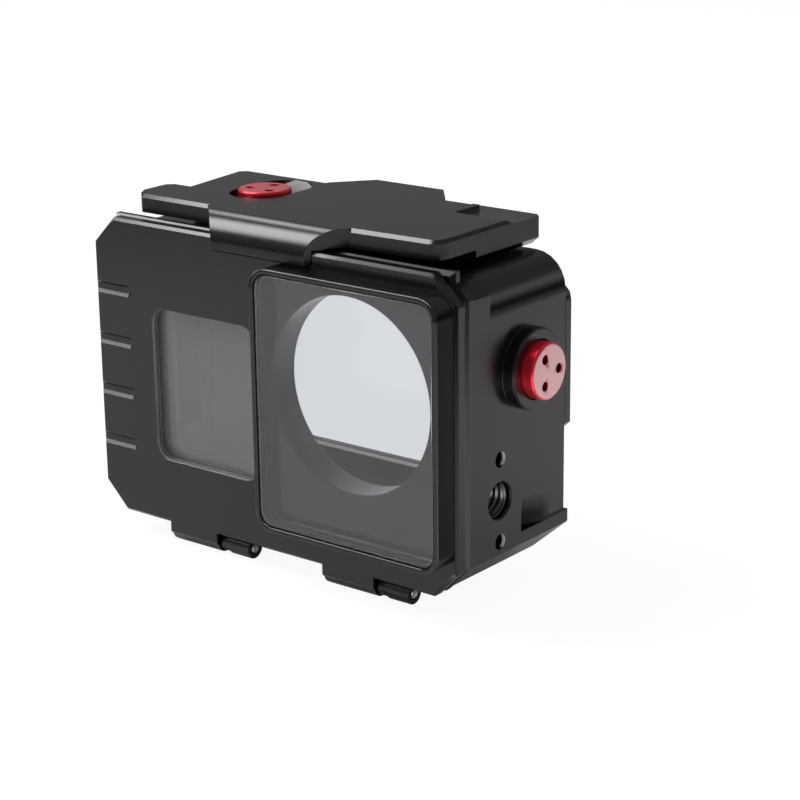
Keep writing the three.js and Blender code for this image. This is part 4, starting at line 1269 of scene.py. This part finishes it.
class HOUSING_OT_fasteners(bpy.types.Operator):
    """Adds the slotted screws of the rear frame and of the window retainer"""

    bl_idname = "housing.fasteners"
    bl_label = "Screws"

    def execute(self, context):
        for kind, (count, body, *sizes) in SCREWS.items():
            for index in range(count):
                self.screw(f"{kind}_{index + 1}", body, *sizes)
        return {"FINISHED"}

    def screw(self, node, body, head, depth, shank, length):
        """One screw: turned with a low domed head, then slotted."""
        low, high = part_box(node)
        piece = lathe(
            node.replace("screw", "bolt"),
            [
                (0, -length + 0.3),
                (shank - 0.3, -length + 0.3),
                (shank, -length + 0.6),
                (shank, 0),
                (head - 0.12, 0),
                (head, 0.12),
                (head, depth - 0.3),
                (head - 0.1, depth - 0.1),
                (head - 0.35, depth - 0.02),
                (head * 0.5, depth),
                (0, depth),
            ],
            32,
        )
        nothing_selected()
        bpy.ops.mesh.primitive_cube_add(
            size=1, location=(0, 0, depth * MM), scale=(4 * head * MM, 0.5 * MM, depth * MM)
        )
        tool = bpy.context.object
        cut_out(piece, tool)
        middle = (low + high) / 2
        seat = high.y - depth * MM
        place = Matrix.Translation((middle.x, seat, middle.z)) @ Matrix.Rotation(-QUARTER, 4, "X")
        settle(piece, place)
        finished(piece, body, "steel", [node])


class HOUSING_OT_pins(bpy.types.Operator):
    """Adds the hinge pins and the latch pin"""

    bl_idname = "housing.pins"
    bl_label = "Pins"

    def execute(self, context):
        for node in ("hinge_pin_left", "hinge_pin_right", "latch_pin"):
            low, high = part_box(node)
            length = (high.x - low.x) / MM
            radius = (high.z - low.z) / 2 / MM
            piece = lathe(
                node.replace("pin", "rod"),
                [
                    (0, 0.12),
                    (radius * 0.4, 0.1),
                    (radius * 0.55, 0),
                    (radius * 0.8, 0),
                    (radius, 0.15),
                    (radius, length - 0.15),
                    (radius * 0.8, length),
                    (radius * 0.55, length),
                    (radius * 0.4, length - 0.1),
                    (0, length - 0.12),
                ],
                32,
            )
            settle(piece, along_x(low, high))
            finished(piece, "case", "steel", [node])
        return {"FINISHED"}


class HOUSING_OT_tripod_insert(bpy.types.Operator):
    """Adds the threaded insert in the side"""

    bl_idname = "housing.tripod_insert"
    bl_label = "Tripod Insert"

    def execute(self, context):
        low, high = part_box("tripod_insert")
        length = (high.x - low.x) / MM
        place = along_x(low, high)
        outer, bore = 4.6, 3.15
        body = lathe(
            "tripod_socket",
            [
                (0, 0),
                (outer - 0.15, 0),
                (outer, 0.15),
                (outer, length - 0.15),
                (outer - 0.15, length),
                (bore + 0.25, length),
                (bore, length - 0.25),
                (bore, 1.0),
                (0, 1.0),
            ],
            settings("detail").insert_sides,
        )
        settle(body, place)
        finished(body, "case", "steel", ["tripod_insert"], material=palette("dark_steel"))

        ridge = ((3.2, 1.3), (2.72, 1.72), (2.68, 1.8), (2.72, 1.88), (3.2, 2.3))
        points = [Vector((radius, 0, height)) * MM for radius, height in ridge]
        thread = chain_start("tripod_thread", points[0])
        chain(points)
        bpy.ops.mesh.select_all(action="SELECT")
        bpy.ops.mesh.edge_face_add()
        bpy.ops.mesh.delete(type="ONLY_FACE")
        bpy.ops.object.mode_set(mode="OBJECT")
        turns = 2.4
        wound(thread, turns, turns * settings("detail").thread_pitch / MM, 120)
        settle(thread, place)
        finished(thread, "case", "steel", material=palette("dark_steel"))
        return {"FINISHED"}


class HOUSING_OT_inner_parts(bpy.types.Operator):
    """Adds the main seal and the pads that hold the camera"""

    bl_idname = "housing.inner_parts"
    bl_label = "Seal and Pads"

    def execute(self, context):
        seal = refined("main_seal", "door_seal")
        finished(seal, "case", "rubber", ["main_seal"])
        for node in ("side_pad", "floor_pad_left", "floor_pad_right"):
            pad = refined(node, "cushion_" + node.replace("_pad", ""))
            broken_edges(pad, 0.3 * MM)
            finished(pad, "case", "rubber", [node], material=palette("pale_rubber"))
        return {"FINISHED"}


class HOUSING_PT_panel(bpy.types.Panel):
    """Lists the housing's settings and pieces"""

    bl_idname = "HOUSING_PT_panel"
    bl_label = "Camera Housing"
    bl_space_type = "VIEW_3D"
    bl_region_type = "UI"
    bl_category = "Housing"

    def draw(self, context):
        layout = self.layout
        for kind, group in GROUPS.items():
            box = layout.box()
            box.label(text=kind.title())
            for name in group.__annotations__:
                box.prop(settings(kind), name)
        for operator in OPERATORS:
            layout.operator(operator.bl_idname)


GROUPS = {"finish": HousingFinish, "detail": HousingDetail, "stage": HousingStage}
OPERATORS = (
    HOUSING_OT_stage,
    HOUSING_OT_shell,
    HOUSING_OT_door,
    HOUSING_OT_lens_port,
    HOUSING_OT_display_window,
    HOUSING_OT_rear_window,
    HOUSING_OT_latch,
    HOUSING_OT_buttons,
    HOUSING_OT_fasteners,
    HOUSING_OT_pins,
    HOUSING_OT_tripod_insert,
    HOUSING_OT_inner_parts,
)
CLASSES = (*GROUPS.values(), *OPERATORS, HOUSING_PT_panel)


def register():
    """Registers the classes and puts the settings on the scene."""
    for cls in CLASSES:
        bpy.utils.register_class(cls)
    for kind, group in GROUPS.items():
        setattr(bpy.types.Scene, "housing_" + kind, bpy.props.PointerProperty(type=group))


def unregister():
    """Removes the settings and the classes."""
    for kind in GROUPS:
        delattr(bpy.types.Scene, "housing_" + kind)
    for cls in reversed(CLASSES):
        bpy.utils.unregister_class(cls)


def main():
    """Registers the housing's classes, then makes every piece in order."""
    register()
    for operator in OPERATORS:
        group, name = operator.bl_idname.split(".")
        getattr(getattr(bpy.ops, group), name)()
    nothing_selected()


if __name__ == "__main__":
    main()
